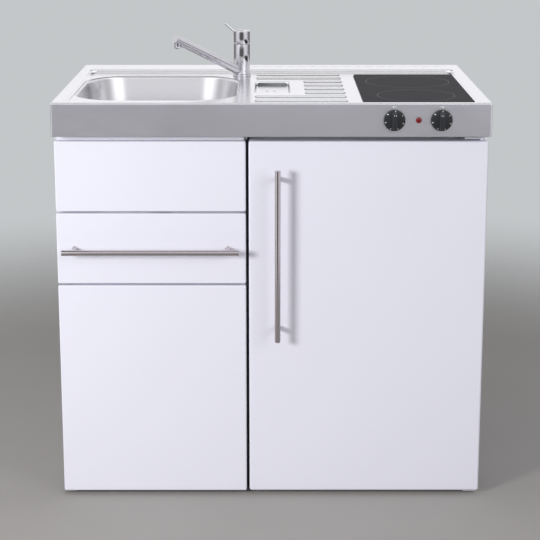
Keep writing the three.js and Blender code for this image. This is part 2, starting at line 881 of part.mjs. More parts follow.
function aerator() {
  return turned([
    [0, -spoutRadius - aeratorHeight + 2],
    [aeratorRadius - 2, -spoutRadius - aeratorHeight + 2],
    [aeratorRadius - 2, -spoutRadius - aeratorHeight],
    [aeratorRadius, -spoutRadius - aeratorHeight],
    [aeratorRadius, -seat],
    [0, -seat],
  ], 20);
}

const leverPivot = tapHeight - leverPivotDrop;

/** The cap over the cartridge, with the slot that its pin lever tips in, facing +X. */
function tapHead() {
  const cap = turned([
    [0, bodyTop + seat],
    [tapRadius - 1, bodyTop + seat],
    [tapRadius, bodyTop + seat + 1],
    [tapRadius, tapHeight - 2],
    [tapRadius - 2, tapHeight],
    [0, tapHeight],
  ], 32);
  const bore = rod([0, 0, bodyTop - 1], [0, 0, bodyTop + tapNeckHeight + seat],
    tapNeckRadius + runningGap, 24);
  const half = leverRadius + 0.6;
  const floor = leverPivot - leverBallRadius - 0.8;
  const foot = leverBallRadius + 1;
  const run = tapRadius * 2;
  const slope = Math.tan(THREE.MathUtils.degToRad(leverRise - 4));
  const side = [
    [-foot, floor], [foot, floor], [run, floor + (run - foot) * slope],
    [run, tapHeight + 5], [-foot, tapHeight + 5],
  ].map(([x, z]) => new THREE.Vector2(x, z));
  const slot = prism(side, -half, half).rotateX(Math.PI / 2);
  const pocket = new THREE.SphereGeometry(leverBallRadius + 0.6, 12, 8)
    .translate(0, 0, leverPivot);
  return carve([cap], [bore, slot, pocket]);
}

function tapLever() {
  const length = leverReach / Math.cos(THREE.MathUtils.degToRad(leverRise));
  const stem = rod([0, 0, 0], [length, 0, 0], leverRadius, 12);
  const tip = new THREE.SphereGeometry(leverRadius, 12, 8).translate(length, 0, 0);
  const ball = new THREE.SphereGeometry(leverBallRadius, 12, 8);
  return carve([stem, tip, ball]);
}

function buildTap(unit) {
  const tap = new THREE.Group();
  tap.position.set(tapX, tapY, deck);
  unit.add(tap);
  place(tap, "tap_base", tapBase(), chrome);
  const bearing = THREE.MathUtils.degToRad(spoutBearing);
  const swivel = new THREE.Group();
  swivel.rotation.z = bearing;
  tap.add(swivel);
  place(swivel, "tap_body", tapBody(), chrome);
  place(swivel, "tap_aerator", aerator(), chrome, spoutPoint(spoutReach - aeratorRadius));
  const handle = new THREE.Group();
  handle.rotation.z = THREE.MathUtils.degToRad(leverBearing);
  tap.add(handle);
  place(handle, "tap_head", tapHead(), chrome);
  const lever = place(handle, "tap_lever", tapLever(), chrome, [0, 0, leverPivot]);
  lever.rotation.y = -THREE.MathUtils.degToRad(leverRise);
}

// ---- Hob ------------------------------------------------------------------------------------

function hobGlass() {
  const flat = roundedRectangle([glassLeft, glassRight], [glassFront, glassRear], glassCorner, 3);
  const top = roundedRectangle(
    [glassLeft + 1, glassRight - 1], [glassFront + 1, glassRear - 1], glassCorner - 1, 3);
  const bottom = deck + seat;
  return loft([
    { outline: flat, z: bottom },
    { outline: flat, z: bottom + glassThickness - 1 },
    { outline: top, z: bottom + glassThickness },
  ]);
}

const panTop = underDeck - seat;
const panFloor = panTop - panDepth;
const panFront = front + topSheet + seat + switchDepth + panToSwitch;
const panRear = glassRear - panInset;
const frontZoneY = panFront + panSheet + frontHeaterGap + frontZoneRadius;
const rearZoneY = panRear - panSheet - rearHeaterGap - rearZoneRadius;

function hobPan() {
  const xs = [glassLeft + panInset, glassRight - panInset];
  const ys = [panFront, panRear];
  return carve([box(xs, ys, [panFloor, panTop])],
    [box([xs[0] + panSheet, xs[1] - panSheet], [ys[0] + panSheet, ys[1] - panSheet],
      [panFloor + panSheet, panTop + 1])]);
}

/** A radiant heater: an insulating dish that stands on the floor of the pan. */
function heater(radius) {
  return turned([
    [0, 0],
    [radius - 3, 0],
    [radius, 4],
    [radius, heaterHeight],
    [radius - heaterWall, heaterHeight],
    [radius - heaterWall, 10],
    [0, 10],
  ], 32);
}

/** A knob and its spindle along +Z, the face of the grip outermost. */
function knob() {
  const body = turned([
    [0, seat],
    [knobRadius, seat],
    [knobRadius, knobSkirt - 1],
    [knobRadius - 1, knobSkirt],
    [0, knobSkirt + knobCrown],
  ], 28);
  const gripAt = (inset, z) => ({
    outline: roundedRectangle([-gripWidth / 2 + inset, gripWidth / 2 - inset],
      [-gripLength / 2 + inset, gripLength / 2 - inset], gripWidth / 2 - inset - 0.5, 3),
    z,
  });
  const grip = loft([gripAt(0, 1), gripAt(gripTaper, knobDepth - 1),
    gripAt(gripTaper + 1, knobDepth)]);
  const spindle = rod([0, 0, -switchDepth * 0.6], [0, 0, 1], spindleRadius, 12);
  return carve([body, grip, spindle]);
}

function hobSwitch() {
  const half = switchSize / 2;
  const back = -topSheet - seat;
  return carve([box([-half, half], [-half, half], [back - switchDepth, back])],
    [rod([0, 0, back - switchDepth * 0.7], [0, 0, back + 1], spindleRadius + runningGap, 12)]);
}

function pilotLamp() {
  return turned([
    [0, -lampBarrelLength],
    [lampBarrelRadius, -lampBarrelLength],
    [lampBarrelRadius, seat],
    [lampRadius, seat],
    [lampRadius, seat + 1],
    [lampRadius * 0.6, lampProud],
    [0, lampProud],
  ], 12);
}

function buildHob(unit) {
  place(unit, "hob_glass", hobGlass(), blackGlass);
  place(unit, "hob_pan", hobPan(), zincSteel);
  const standing = panFloor + panSheet + seat;
  place(unit, "heater_rear", heater(rearZoneRadius), insulation,
    [glassX, rearZoneY, standing]);
  place(unit, "heater_front", heater(frontZoneRadius), insulation,
    [glassX, frontZoneY, standing]);
  const panel = new THREE.Group();
  panel.position.y = knobY;
  panel.rotation.x = Math.PI / 2;
  unit.add(panel);
  ["left", "right"].forEach((side, i) => {
    place(panel, `knob_${side}`, knob(), blackPlastic, [knobXs[i], knobZ, 0]);
    place(panel, `hob_switch_${side}`, hobSwitch(), greyPlastic, [knobXs[i], knobZ, 0]);
  });
  place(panel, "pilot_lamp", pilotLamp(), redLens, [lampX, lampZ, 0]);
}

// ---- Sink unit ------------------------------------------------------------------------------

function buildCarcass(unit) {
  const depth = [carcassFront, carcassBack];
  const height = [frontBottom, carcassTop];
  place(unit, "side_left", box([frontLeft, sideInnerLeft], depth, height), carcassWhite);
  place(unit, "side_right", box([sideInnerRight, unitEdge], depth, height), carcassWhite);
  const between = [sideInnerLeft + seat, sideInnerRight - seat];
  const floorTop = frontBottom + panelThickness;
  place(unit, "unit_floor", box(between, depth, [frontBottom, floorTop]), carcassWhite);
  place(unit, "unit_back", box(between, [carcassBack - backThickness, carcassBack],
    [floorTop + seat, floorTop + backHeight]), carcassWhite);
  const corners = {
    front_left: [between[0] + footInset, depth[0] + footInset],
    front_right: [between[1] - footInset, depth[0] + footInset],
    rear_left: [between[0] + footInset, depth[1] - footInset],
    rear_right: [between[1] - footInset, depth[1] - footInset],
  };
  for (const [corner, [x, y]] of Object.entries(corners)) {
    place(unit, `foot_${corner}`, rod([0, 0, 0], [0, 0, frontBottom - seat], footRadius, 20),
      blackPlastic, [x, y, 0]);
  }
}

/** A front of folded and painted sheet, its edges eased, in the XZ plane. */
function panelFront([x0, x1], [z0, z1], thickness = frontThickness) {
  const at = (inset, z) => ({
    outline: roundedRectangle([x0 + inset, x1 - inset], [z0 + inset, z1 - inset],
      frontEase + 0.5 - inset, 2),
    z,
  });
  return loft([at(0, -thickness), at(0, -frontEase), at(frontEase * 0.3, -frontEase * 0.3),
    at(frontEase, 0)]).rotateX(Math.PI / 2).translate(0, frontFace, 0);
}

/** The fixed front, with flanges to the side panels and a lip up to the worktop behind it. */
function fascia() {
  const xs = [frontLeft, frontRight];
  const zs = [fasciaBottom + 10, frontTop - 10];
  const lip = box([frontLeft + fasciaLipInset, frontRight - fasciaLipInset],
    [frontBack - fasciaLipSheet, frontBack], [frontTop - 10, carcassTop]);
  const flange = (x) => box([x, x + fasciaFlangeSheet], [frontBack - 2, frontBack + fasciaFlange],
    zs);
  return carve([
    panelFront(xs, [fasciaBottom, frontTop]),
    lip,
    flange(sideInnerLeft + seat),
    flange(sideInnerRight - seat - fasciaFlangeSheet),
  ]);
}

const railZ = drawerFrontBottom + drawerRaise + drawerSideHeight / 2;

/** A channel on the side panel, open towards the drawer; side is -1 left or 1 right. */
function runner(side) {
  const wall = side < 0 ? sideInnerLeft + seat : sideInnerRight - seat;
  const mouth = wall - side * runnerDepth;
  const span = (a, b) => [Math.min(a, b), Math.max(a, b)];
  const groove = railHeight / 2 + runningGap;
  const length = [carcassFront + 4, carcassFront + 4 + drawerDepth];
  return carve([box(span(wall, mouth), length, [railZ - runnerHeight / 2, railZ + runnerHeight / 2])],
    [box(span(wall - side * runnerWall, mouth - side), [length[0] - 1, length[1] - 6],
      [railZ - groove, railZ + groove])]);
}

function drawerBox() {
  const x0 = sideInnerLeft + seat + runnerDepth + runningGap;
  const x1 = sideInnerRight - seat - runnerDepth - runningGap;
  const y0 = frontBack + seat;
  const y1 = y0 + drawerDepth;
  const z0 = drawerFrontBottom + drawerRaise;
  const z1 = z0 + drawerSideHeight;
  const rails = [[x0 - railReach, x0 + 1], [x1 - 1, x1 + railReach]].map((xs) =>
    box(xs, [carcassFront + 6, y1 - 8], [railZ - railHeight / 2, railZ + railHeight / 2]));
  return carve([box([x0, x1], [y0, y1], [z0, z1]), ...rails],
    [box([x0 + drawerSheet, x1 - drawerSheet], [y0 + drawerSheet, y1 - drawerSheet],
      [z0 + drawerSheet, z1 + 1])]);
}

/** A bar on two posts, the bar along +X and the posts along +Y to the front behind it. */
function barHandle() {
  const half = barLength / 2;
  const posts = [-1, 1].map((side) => rod([side * postSpacing / 2, 0, 0],
    [side * postSpacing / 2, barStandOff - seat, 0], postRadius, 14));
  return carve([rod([-half, 0, 0], [half, 0, 0], barRadius, 20), ...posts]);
}

const barY = frontFace - barStandOff;

function buildDrawer(unit) {
  place(unit, "runner_left", runner(-1), zincSteel);
  place(unit, "runner_right", runner(1), zincSteel);
  place(unit, "drawer_box", drawerBox(), carcassWhite);
  place(unit, "drawer_front",
    panelFront([frontLeft, frontRight], [drawerFrontBottom, drawerFrontTop]), whiteEnamel);
  place(unit, "drawer_handle", barHandle(), brushedSteel,
    [(frontLeft + frontRight) / 2, barY, (drawerFrontBottom + drawerFrontTop) / 2]);
}

const cupboardPinX = frontLeft + cupboardPinInset;
const cupboardPinY = frontFace + cupboardPinDepth;

function pinHoles(x, y, bottom, top) {
  const radius = pinRadius + pinClearance;
  return [
    rod([x, y, bottom - 1], [x, y, bottom + pinLength + 1], radius, 12),
    rod([x, y, top - pinLength - 1], [x, y, top + 1], radius, 12),
  ];
}

function cupboardDoor() {
  const panel = panelFront([frontLeft, frontRight], [frontBottom, cupboardTop]);
  return carve([panel], pinHoles(cupboardPinX, cupboardPinY, frontBottom, cupboardTop));
}

/** The upper pin plate of the cupboard, between its door and the drawer front. */
function cupboardHingeTop() {
  const plate = [cupboardTop + 1, cupboardTop + 1 + bracketSheet];
  const inner = sideInnerLeft + seat;
  return carve([
    box([frontLeft + 0.5, frontLeft + bracketWidth + 6], [cupboardPinY - 7, carcassFront - seat],
      plate),
    box([inner, frontLeft + bracketWidth + 6], [carcassFront - 2, carcassFront + 28], plate),
    box([inner, inner + bracketSheet], [carcassFront, carcassFront + 28],
      [cupboardTop - 16, plate[1]]),
    rod([cupboardPinX, cupboardPinY, cupboardTop - pinLength],
      [cupboardPinX, cupboardPinY, plate[1]], pinRadius, 12),
  ]);
}

function cupboardHingeBottom() {
  const plate = [frontBottom - 1 - bracketSheet, frontBottom - 1];
  return carve([
    box([frontLeft + 0.5, frontLeft + bracketWidth + 6], [cupboardPinY - 7, carcassFront + 8],
      plate),
    rod([cupboardPinX, cupboardPinY, plate[0]],
      [cupboardPinX, cupboardPinY, frontBottom + pinLength], pinRadius, 12),
  ]);
}

function buildCupboard(unit) {
  place(unit, "cupboard_door", cupboardDoor(), whiteEnamel);
  place(unit, "cupboard_hinge_top", cupboardHingeTop(), zincSteel);
  place(unit, "cupboard_hinge_bottom", cupboardHingeBottom(), zincSteel);
}

// ---- Refrigerator ---------------------------------------------------------------------------

/** The cold room, set in by the given amount, reaching in front of the cabinet. */
function coldRoom(inset, frontY) {
  const xs = [roomLeft + inset, roomRight - inset];
  return [
    box(xs, [frontY, roomBack - inset], [roomStepZ + inset, roomTop - inset]),
    box(xs, [frontY, roomStepY - inset], [roomFloor + inset, roomStepZ + inset + 1]),
  ];
}

function fridgeCabinet() {
  const shell = box([fridgeLeft, fridgeRight], [fridgeFront, fridgeBack],
    [fridgeBottom, carcassTop]);
  const bay = box([roomLeft, roomRight], [bayFront, fridgeBack + 1], [fridgeBottom - 1, bayTop]);
  return carve([shell], [...coldRoom(0, fridgeFront - 1), bay]);
}

function ledge(side, z) {
  const wall = side < 0 ? roomLeft + seat : roomRight - seat;
  const edge = wall - side * (linerSheet + ledgeReach);
  return box([Math.min(wall, edge), Math.max(wall, edge)],
    [fridgeFront + shelfSetback, roomBack - shelfRearGap - 20], [z - ledgeHeight, z]);
}

const lowerShelfHeight = roomStepZ + seat + linerSheet + seat;
const freezerBottom = roomTop - seat - linerSheet - seat - freezerHeight;
const upperShelfHeight = freezerBottom - topSpaceHeight;

function fridgeLiner() {
  const lip = box([roomLeft - linerFlange, roomRight + linerFlange],
    [fridgeFront - seat - linerSheet, fridgeFront - seat],
    [roomFloor - linerFlange, roomTop + linerFlange]);
  const ledges = [-1, 1].map((side) => ledge(side, upperShelfHeight - seat));
  const skin = carve([...coldRoom(seat, fridgeFront - seat - linerSheet), lip],
    coldRoom(seat + linerSheet, fridgeFront - 20));
  return carve([skin, ...ledges]);
}

const innerLeft = roomLeft + seat + linerSheet;
const innerRight = roomRight - seat - linerSheet;
const shelfFront = fridgeFront + shelfSetback;
const freezerFront = fridgeFront + freezerSetback;

function shelf(z) {
  const plate = box([innerLeft + seat, innerRight - seat],
    [shelfFront, roomBack - shelfRearGap], [z, z + shelfGlass]);
  const trim = box([innerLeft + seat, innerRight - seat],
    [shelfFront - 5, shelfFront + 8], [z, z + shelfGlass + 3]);
  return carve([plate, trim]);
}

function openBox([x0, x1], [y0, y1], [z0, z1], sheet) {
  return carve([box([x0, x1], [y0, y1], [z0, z1])],
    [box([x0 + sheet, x1 - sheet], [y0 + sheet, y1 - sheet], [z0 + sheet, z1 + 1])]);
}

function crisper() {
  const floor = roomFloor + seat + linerSheet + seat;
  return openBox([innerLeft + 6, innerRight - 6],
    [shelfFront, roomStepY - seat - linerSheet - 4],
    [floor, lowerShelfHeight - crisperTopGap], crisperSheet);
}

const flapPinY = freezerFront - flapThickness;
const flapPinZ = freezerBottom + freezerSheet + 6;

/** The freezer sleeve: open at the front, with cheeks that hold the pins of its flap. */
function freezerBox() {
  const top = freezerBottom + freezerHeight;
  const xs = [innerLeft + seat, innerRight - seat];
  const sleeve = box(xs, [freezerFront - cheekReach, roomBack - seat - linerSheet - seat],
    [freezerBottom, top]);
  const room = box([xs[0] + freezerSheet, xs[1] - freezerSheet],
    [freezerFront - 20, roomBack - 8], [freezerBottom + freezerSheet, top - freezerSheet]);
  const mouth = box([xs[0] + freezerSheet, xs[1] - freezerSheet],
    [freezerFront - 20, freezerFront], [freezerBottom - 1, top + 1]);
  const pins = rod([xs[0] - 1, flapPinY, flapPinZ], [xs[1] + 1, flapPinY, flapPinZ],
    flapPinRadius + pinClearance, 12);
  return carve([sleeve], [room, mouth, pins]);
}

function freezerFlap() {
  const xs = [innerLeft + seat + freezerSheet + runningGap,
    innerRight - seat - freezerSheet - runningGap];
  const half = flapThickness / 2;
  const middle = (xs[0] + xs[1]) / 2;
  const top = freezerBottom + freezerHeight - freezerSheet;
  return carve([
    box(xs, [flapPinY - half, flapPinY + half], [flapPinZ - half, top]),
    rod([xs[0] - freezerSheet, flapPinY, flapPinZ], [xs[1] + freezerSheet, flapPinY, flapPinZ],
      flapPinRadius, 12),
    box([middle - flapPullWidth / 2, middle + flapPullWidth / 2],
      [flapPinY - half - flapPullDepth, flapPinY], [top - 2 * flapPullHeight, top - flapPullHeight]),
  ]);
}

const dialY = fridgeFront + thermostatSetback + dialFromHousingFront;
const dialZ = freezerBottom - thermostatDrop - thermostatHeight / 2;
const housingLeft = innerRight - seat - thermostatWidth;

function thermostatHousing() {
  const y0 = fridgeFront + thermostatSetback;
  return carve([box([housingLeft, innerRight - seat], [y0, y0 + thermostatDepth],
    [dialZ - thermostatHeight / 2, dialZ + thermostatHeight / 2])],
    [rod([housingLeft - 1, dialY, dialZ], [housingLeft + 10, dialY, dialZ],
      dialStemRadius + runningGap, 12)]);
}

function thermostatDial() {
  const stem = rod([housingLeft - 2, 0, 0], [housingLeft + 8, 0, 0], dialStemRadius, 12);
  const face = housingLeft - runningGap;
  const dial = rod([face - dialThickness, 0, 0], [face, 0, 0], dialRadius, 24);
  const grip = box([face - dialThickness - 4, face - dialThickness + 2], [-3, 3],
    [-dialRadius + 2, dialRadius - 2]);
  return carve([dial, stem, grip]);
}

function compressor() {
  return turned([
    [0, 0],
    [compressorRadius * 0.8, 0],
    [compressorRadius, 14],
    [compressorRadius, compressorHeight * 0.62],
    [compressorRadius * 0.93, compressorHeight * 0.82],
    [compressorRadius * 0.6, compressorHeight * 0.97],
    [0, compressorHeight],
  ], 28);
}

const trayTop = fridgeBottom - seat;

/** The tray under the machine bay, with the two rear skids that stand on the floor. */
function compressorTray() {
  const ys = [bayFront + 4, fridgeBack];
  const skids = [[fridgeLeft + skidInset, fridgeLeft + skidInset + skidWidth],
    [fridgeRight - skidInset - skidWidth, fridgeRight - skidInset]];
  const skidBack = ys[1] - skidFromRear;
  return carve([
    box([fridgeLeft, fridgeRight], ys, [trayTop - traySheet, trayTop]),
    ...skids.map((xs) => box(xs, [skidBack - skidLength, skidBack], [0, trayTop - traySheet / 2])),
  ]);
}

/** The condenser: a flat serpentine on two straps behind the cabinet. */
function condenser() {
  const y = fridgeBack + coilStandOff;
  const top = carcassTop - coilDrop;
  const centre = (fridgeLeft + fridgeRight) / 2;
  const bend = coilPitch / 2;
  const reach = coilSpan / 2 - bend;
  const route = [];
  for (let run = 0; run < coilRuns; run++) {
    const z = top - run * coilPitch;
    const side = run % 2 === 0 ? 1 : -1;
    route.push(new THREE.Vector3(centre - side * reach, y, z));
    route.push(new THREE.Vector3(centre + side * reach, y, z));
    if (run === coilRuns - 1) break;
    for (let step = 1; step < 6; step++) {
      const angle = step * Math.PI / 6;
      route.push(new THREE.Vector3(centre + side * (reach + bend * Math.sin(angle)), y,
        z - bend + bend * Math.cos(angle)));
    }
  }
  const bottom = top - (coilRuns - 1) * coilPitch;
  const straps = [-1, 1].map((side) => {
    const x = centre + side * reach * 0.8;
    const xs = [x - strapWidth / 2, x + strapWidth / 2];
    const feet = [bottom + strapFootInset, top - strapFootInset].map((z) =>
      box(xs, [fridgeBack + seat, y], [z - strapWidth / 2, z + strapWidth / 2]));
    const strap = box(xs, [y - strapSheet / 2, y + strapSheet / 2],
      [bottom - strapTail, top + strapTail]);
    return [strap, ...feet];
  });
  return carve([tube(route, coilTubeRadius, 0, 6), ...straps.flat()]);
}

const fridgePinX = doorRight - fridgePinInset;
const fridgePinY = frontFace + fridgePinDepth;

function fridgeHingeTop() {
  const z = frontTop + 3;
  const xs = [fridgePinX + 8 - fridgeBracketWidth, fridgePinX + 8];
  return carve([
    box(xs, [fridgePinY - 8, fridgeFront - seat], [z, z + fridgeBracketSheet]),
    box([roomRight + linerFlange + 4, xs[1]],
      [fridgeFront - seat - fridgeBracketSheet, fridgeFront - seat],
      [roomTop + 22, z + fridgeBracketSheet]),
    rod([fridgePinX, fridgePinY, frontTop - pinLength],
      [fridgePinX, fridgePinY, z + fridgeBracketSheet], pinRadius, 12),
  ]);
}

function fridgeHingeBottom() {
  const z = frontBottom - 2 - fridgeBracketSheet;
  const xs = [fridgePinX - 20, fridgePinX + 8];
  return carve([
    box(xs, [fridgePinY - 8, fridgeFront + 30], [z, z + fridgeBracketSheet]),
    box(xs, [fridgeFront + 4, fridgeFront + 30], [z, fridgeBottom - seat]),
    rod([fridgePinX, fridgePinY, z], [fridgePinX, fridgePinY, frontBottom + pinLength],
      pinRadius, 12),
  ]);
}

function fridgeDoor() {
  const panel = panelFront([doorLeft, doorRight], [frontBottom, frontTop], doorThickness);
  return carve([panel], pinHoles(fridgePinX, fridgePinY, frontBottom, frontTop));
}

const gasketXs = [roomLeft - gasketOverlap - gasketWidth, roomRight + gasketOverlap + gasketWidth];
const gasketZs = [roomFloor - gasketOverlap - gasketWidth, roomTop + gasketOverlap + gasketWidth];

function gasket() {
  const ys = [doorBack + seat, fridgeFront - seat - linerSheet - seat];
  return carve([box(gasketXs, ys, gasketZs)],
    [box([gasketXs[0] + gasketWidth, gasketXs[1] - gasketWidth], [ys[0] - 1, ys[1] + 1],
      [gasketZs[0] + gasketWidth, gasketZs[1] - gasketWidth])]);
}

const doorLinerFace = doorBack + seat + doorLinerSheet;
const ridgeXs = [roomLeft + ridgeInset, roomRight - ridgeInset];
const ridgeBottom = roomFloor + ridgeInset;

function fridgeDoorLiner() {
  const rim = gasketWidth + seat;
  const ridges = [[ridgeXs[0], ridgeXs[0] + ridgeWidth], [ridgeXs[1] - ridgeWidth, ridgeXs[1]]];
  return carve([
    box([gasketXs[0] + rim, gasketXs[1] - rim], [doorBack + seat, doorLinerFace],
      [gasketZs[0] + rim, gasketZs[1] - rim]),
    ...ridges.map((xs) => box(xs, [doorLinerFace - 1, doorLinerFace + ridgeReach],
      [ridgeBottom, ridgeBottom + ridgeHeight])),
  ]);
}

function doorBin(bottom, height) {
  return openBox([ridgeXs[0] + ridgeWidth + seat, ridgeXs[1] - ridgeWidth - seat],
    [doorLinerFace + seat, doorLinerFace + seat + binDepth], [bottom, bottom + height], binSheet);
}

function buildFridgeDoor(unit) {
  place(unit, "fridge_door", fridgeDoor(), whiteEnamel);
  place(unit, "fridge_door_liner", fridgeDoorLiner(), whitePlastic);
  place(unit, "fridge_gasket", gasket(), sealRubber);
  place(unit, "fridge_bin_lower", doorBin(ridgeBottom + lowerBinRaise, lowerBinHeight),
    tealPlastic);
  place(unit, "fridge_bin_upper", doorBin(ridgeBottom + upperBinRaise, upperBinHeight),
    tealPlastic);
  const handle = place(unit, "fridge_handle", barHandle(), brushedSteel,
    [doorLeft + fridgeBarInset, barY, fridgeBarHeight]);
  handle.rotation.y = Math.PI / 2;
}

function buildFridge(unit) {
  place(unit, "fridge_cabinet", fridgeCabinet(), whiteEnamel);
  place(unit, "fridge_liner", fridgeLiner(), whitePlastic);
  place(unit, "shelf_upper", shelf(upperShelfHeight), clearGlass);
  place(unit, "shelf_lower", shelf(lowerShelfHeight), clearGlass);
  place(unit, "crisper", crisper(), tealPlastic);
  place(unit, "freezer_box", freezerBox(), whitePlastic);
  place(unit, "freezer_flap", freezerFlap(), whitePlastic);
  place(unit, "thermostat_housing", thermostatHousing(), whitePlastic);
  place(unit, "thermostat_dial", thermostatDial(), greyPlastic, [0, dialY, dialZ]);
  place(unit, "compressor", compressor(), blackPaint,
    [fridgeRight - compressorFromRight, (bayFront + fridgeBack) / 2, trayTop + seat]);
  place(unit, "compressor_tray", compressorTray(), zincSteel);
  place(unit, "condenser", condenser(), blackPaint);
  place(unit, "fridge_hinge_top", fridgeHingeTop(), whiteEnamel);
  place(unit, "fridge_hinge_bottom", fridgeHingeBottom(), whiteEnamel);
  for (const [side, x] of [["left", fridgeLeft + footInset], ["right", fridgeRight - footInset]]) {
    place(unit, `fridge_foot_${side}`, rod([0, 0, 0], [0, 0, fridgeBottom - seat], footRadius, 20),
      blackPlastic, [x, fridgeFront + fridgeFootSetback, 0]);
  }
}

// ---- The whole unit, set so that its origin is under the middle of its outline ---------------

const unit = new THREE.Group();
unit.position.y = -(barY - barRadius + rear) / 2;

place(unit, "worktop", worktop(), deckSteel);
buildSink(unit);
buildTap(unit);
buildHob(unit);
buildCarcass(unit);
place(unit, "fascia", fascia(), whiteEnamel);
buildDrawer(unit);
buildCupboard(unit);
buildFridge(unit);
buildFridgeDoor(unit);

const kitchenette = new THREE.Group();
kitchenette.add(unit);

export default kitchenette;
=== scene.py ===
# Kitchenette unit with sink and hob: the looks of every piece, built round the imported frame.
# Metres, +X to the right, +Y to the wall, +Z up, the floor at z = 0.

import json
import math

import bmesh
import bpy
from mathutils import Matrix, Vector


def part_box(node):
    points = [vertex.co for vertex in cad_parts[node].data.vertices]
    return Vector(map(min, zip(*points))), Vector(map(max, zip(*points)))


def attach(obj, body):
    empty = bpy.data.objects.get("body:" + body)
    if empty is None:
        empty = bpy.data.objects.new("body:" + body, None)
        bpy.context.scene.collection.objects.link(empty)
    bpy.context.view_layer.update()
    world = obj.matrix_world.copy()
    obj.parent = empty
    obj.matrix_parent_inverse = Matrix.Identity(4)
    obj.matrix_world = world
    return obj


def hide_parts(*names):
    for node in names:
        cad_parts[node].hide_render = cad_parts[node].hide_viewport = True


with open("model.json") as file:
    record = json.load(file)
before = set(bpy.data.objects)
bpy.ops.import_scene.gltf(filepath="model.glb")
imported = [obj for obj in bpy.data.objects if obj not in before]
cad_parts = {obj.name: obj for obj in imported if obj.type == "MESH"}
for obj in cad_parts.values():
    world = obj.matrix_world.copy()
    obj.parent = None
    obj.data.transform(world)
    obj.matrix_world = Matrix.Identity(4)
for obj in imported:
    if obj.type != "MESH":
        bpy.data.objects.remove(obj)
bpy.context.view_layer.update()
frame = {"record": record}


# ---- Camera, floor and light ------------------------------------------------------------------
# A long lens stands 3 m in front of the apron, half a metre above the worktop, and looks down a
# little. The floor fades into a plain grey surround, and soft lamps light the unit from the left,
# the right and above.

def linked(name, data):
    """A new object with this data, in the scene."""
    made = bpy.data.objects.new(name, data)
    bpy.context.scene.collection.objects.link(made)
    return made


camera_distance = 3.0
camera_height = 1.33
camera_pitch = math.radians(12.4)
camera_lens = 99.6
camera_shift = (-0.0025, -0.14)

camera_data = bpy.data.cameras.new("camera")
camera_data.lens = camera_lens
camera_data.shift_x, camera_data.shift_y = camera_shift
camera = linked("camera", camera_data)
camera.location = (0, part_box("worktop")[0].y - camera_distance, camera_height)
camera.rotation_euler = (math.pi / 2 - camera_pitch, 0, 0)
bpy.context.scene.camera = camera
bpy.context.scene.view_settings.view_transform = "Standard"


class Socket:
    """An output socket that Python's operators add Math nodes to."""

    def __init__(self, graph, socket):
        self.graph = graph
        self.socket = socket

    def _math(self, operation, *operands):
        return self.graph.node("ShaderNodeMath", {"operation": operation}, operands)

    def __add__(self, other):
        return self._math("ADD", self, other)

    def __sub__(self, other):
        return self._math("SUBTRACT", self, other)

    def __rsub__(self, other):
        return self._math("SUBTRACT", other, self)

    def __mul__(self, other):
        return self._math("MULTIPLY", self, other)

    def __truediv__(self, other):
        return self._math("DIVIDE", self, other)

    def __rtruediv__(self, other):
        return self._math("DIVIDE", other, self)

    def __gt__(self, other):
        return self._math("GREATER_THAN", self, other)

    def __lt__(self, other):
        return self._math("LESS_THAN", self, other)

    def __abs__(self):
        return self._math("ABSOLUTE", self)

    __radd__ = __add__
    __rmul__ = __mul__


class Graph:
    """A node tree, of a material, the world or a modifier, that is written as expressions."""

    def __init__(self, tree):
        self.tree = tree

    def feed(self, socket, value):
        if isinstance(value, Socket):
            self.tree.links.new(value.socket, socket)
        else:
            socket.default_value = value

    def node(self, kind, settings=None, inputs=(), output=0):
        made = self.tree.nodes.new(kind)
        for name, value in (settings or {}).items():
            setattr(made, name, value)
        for key, value in inputs.items() if isinstance(inputs, dict) else enumerate(inputs):
            self.feed(made.inputs[key], value)
        return Socket(self, made.outputs[output])

    def ease(self, value, start, end):
        """From 0 to 1, smoothly, as the value goes from start to end."""
        return self.node("ShaderNodeMapRange", {"interpolation_type": "SMOOTHSTEP"},
                         {"Value": value, "From Min": start, "From Max": end})

    def mix(self, factor, low, high):
        """A colour from low to high as the factor goes from 0 to 1."""
        low, high = ((*end, 1) if isinstance(end, tuple) else end for end in (low, high))
        return self.node("ShaderNodeMix", {"data_type": "RGBA"}, {0: factor, 6: low, 7: high},
                         output=2)

    def ramp(self, factor, stops):
        """Cool greys from one stop to the next, each a place from 0 to 1 and its brightness."""
        made = self.node("ShaderNodeValToRGB", {}, (factor,))
        ramp = made.socket.node.color_ramp
        for place, _ in stops[2:]:
            ramp.elements.new(place)
        for element, (place, grey) in zip(ramp.elements, stops):
            element.position = place
            element.color = (grey, grey, grey * 1.03, 1)
        return made


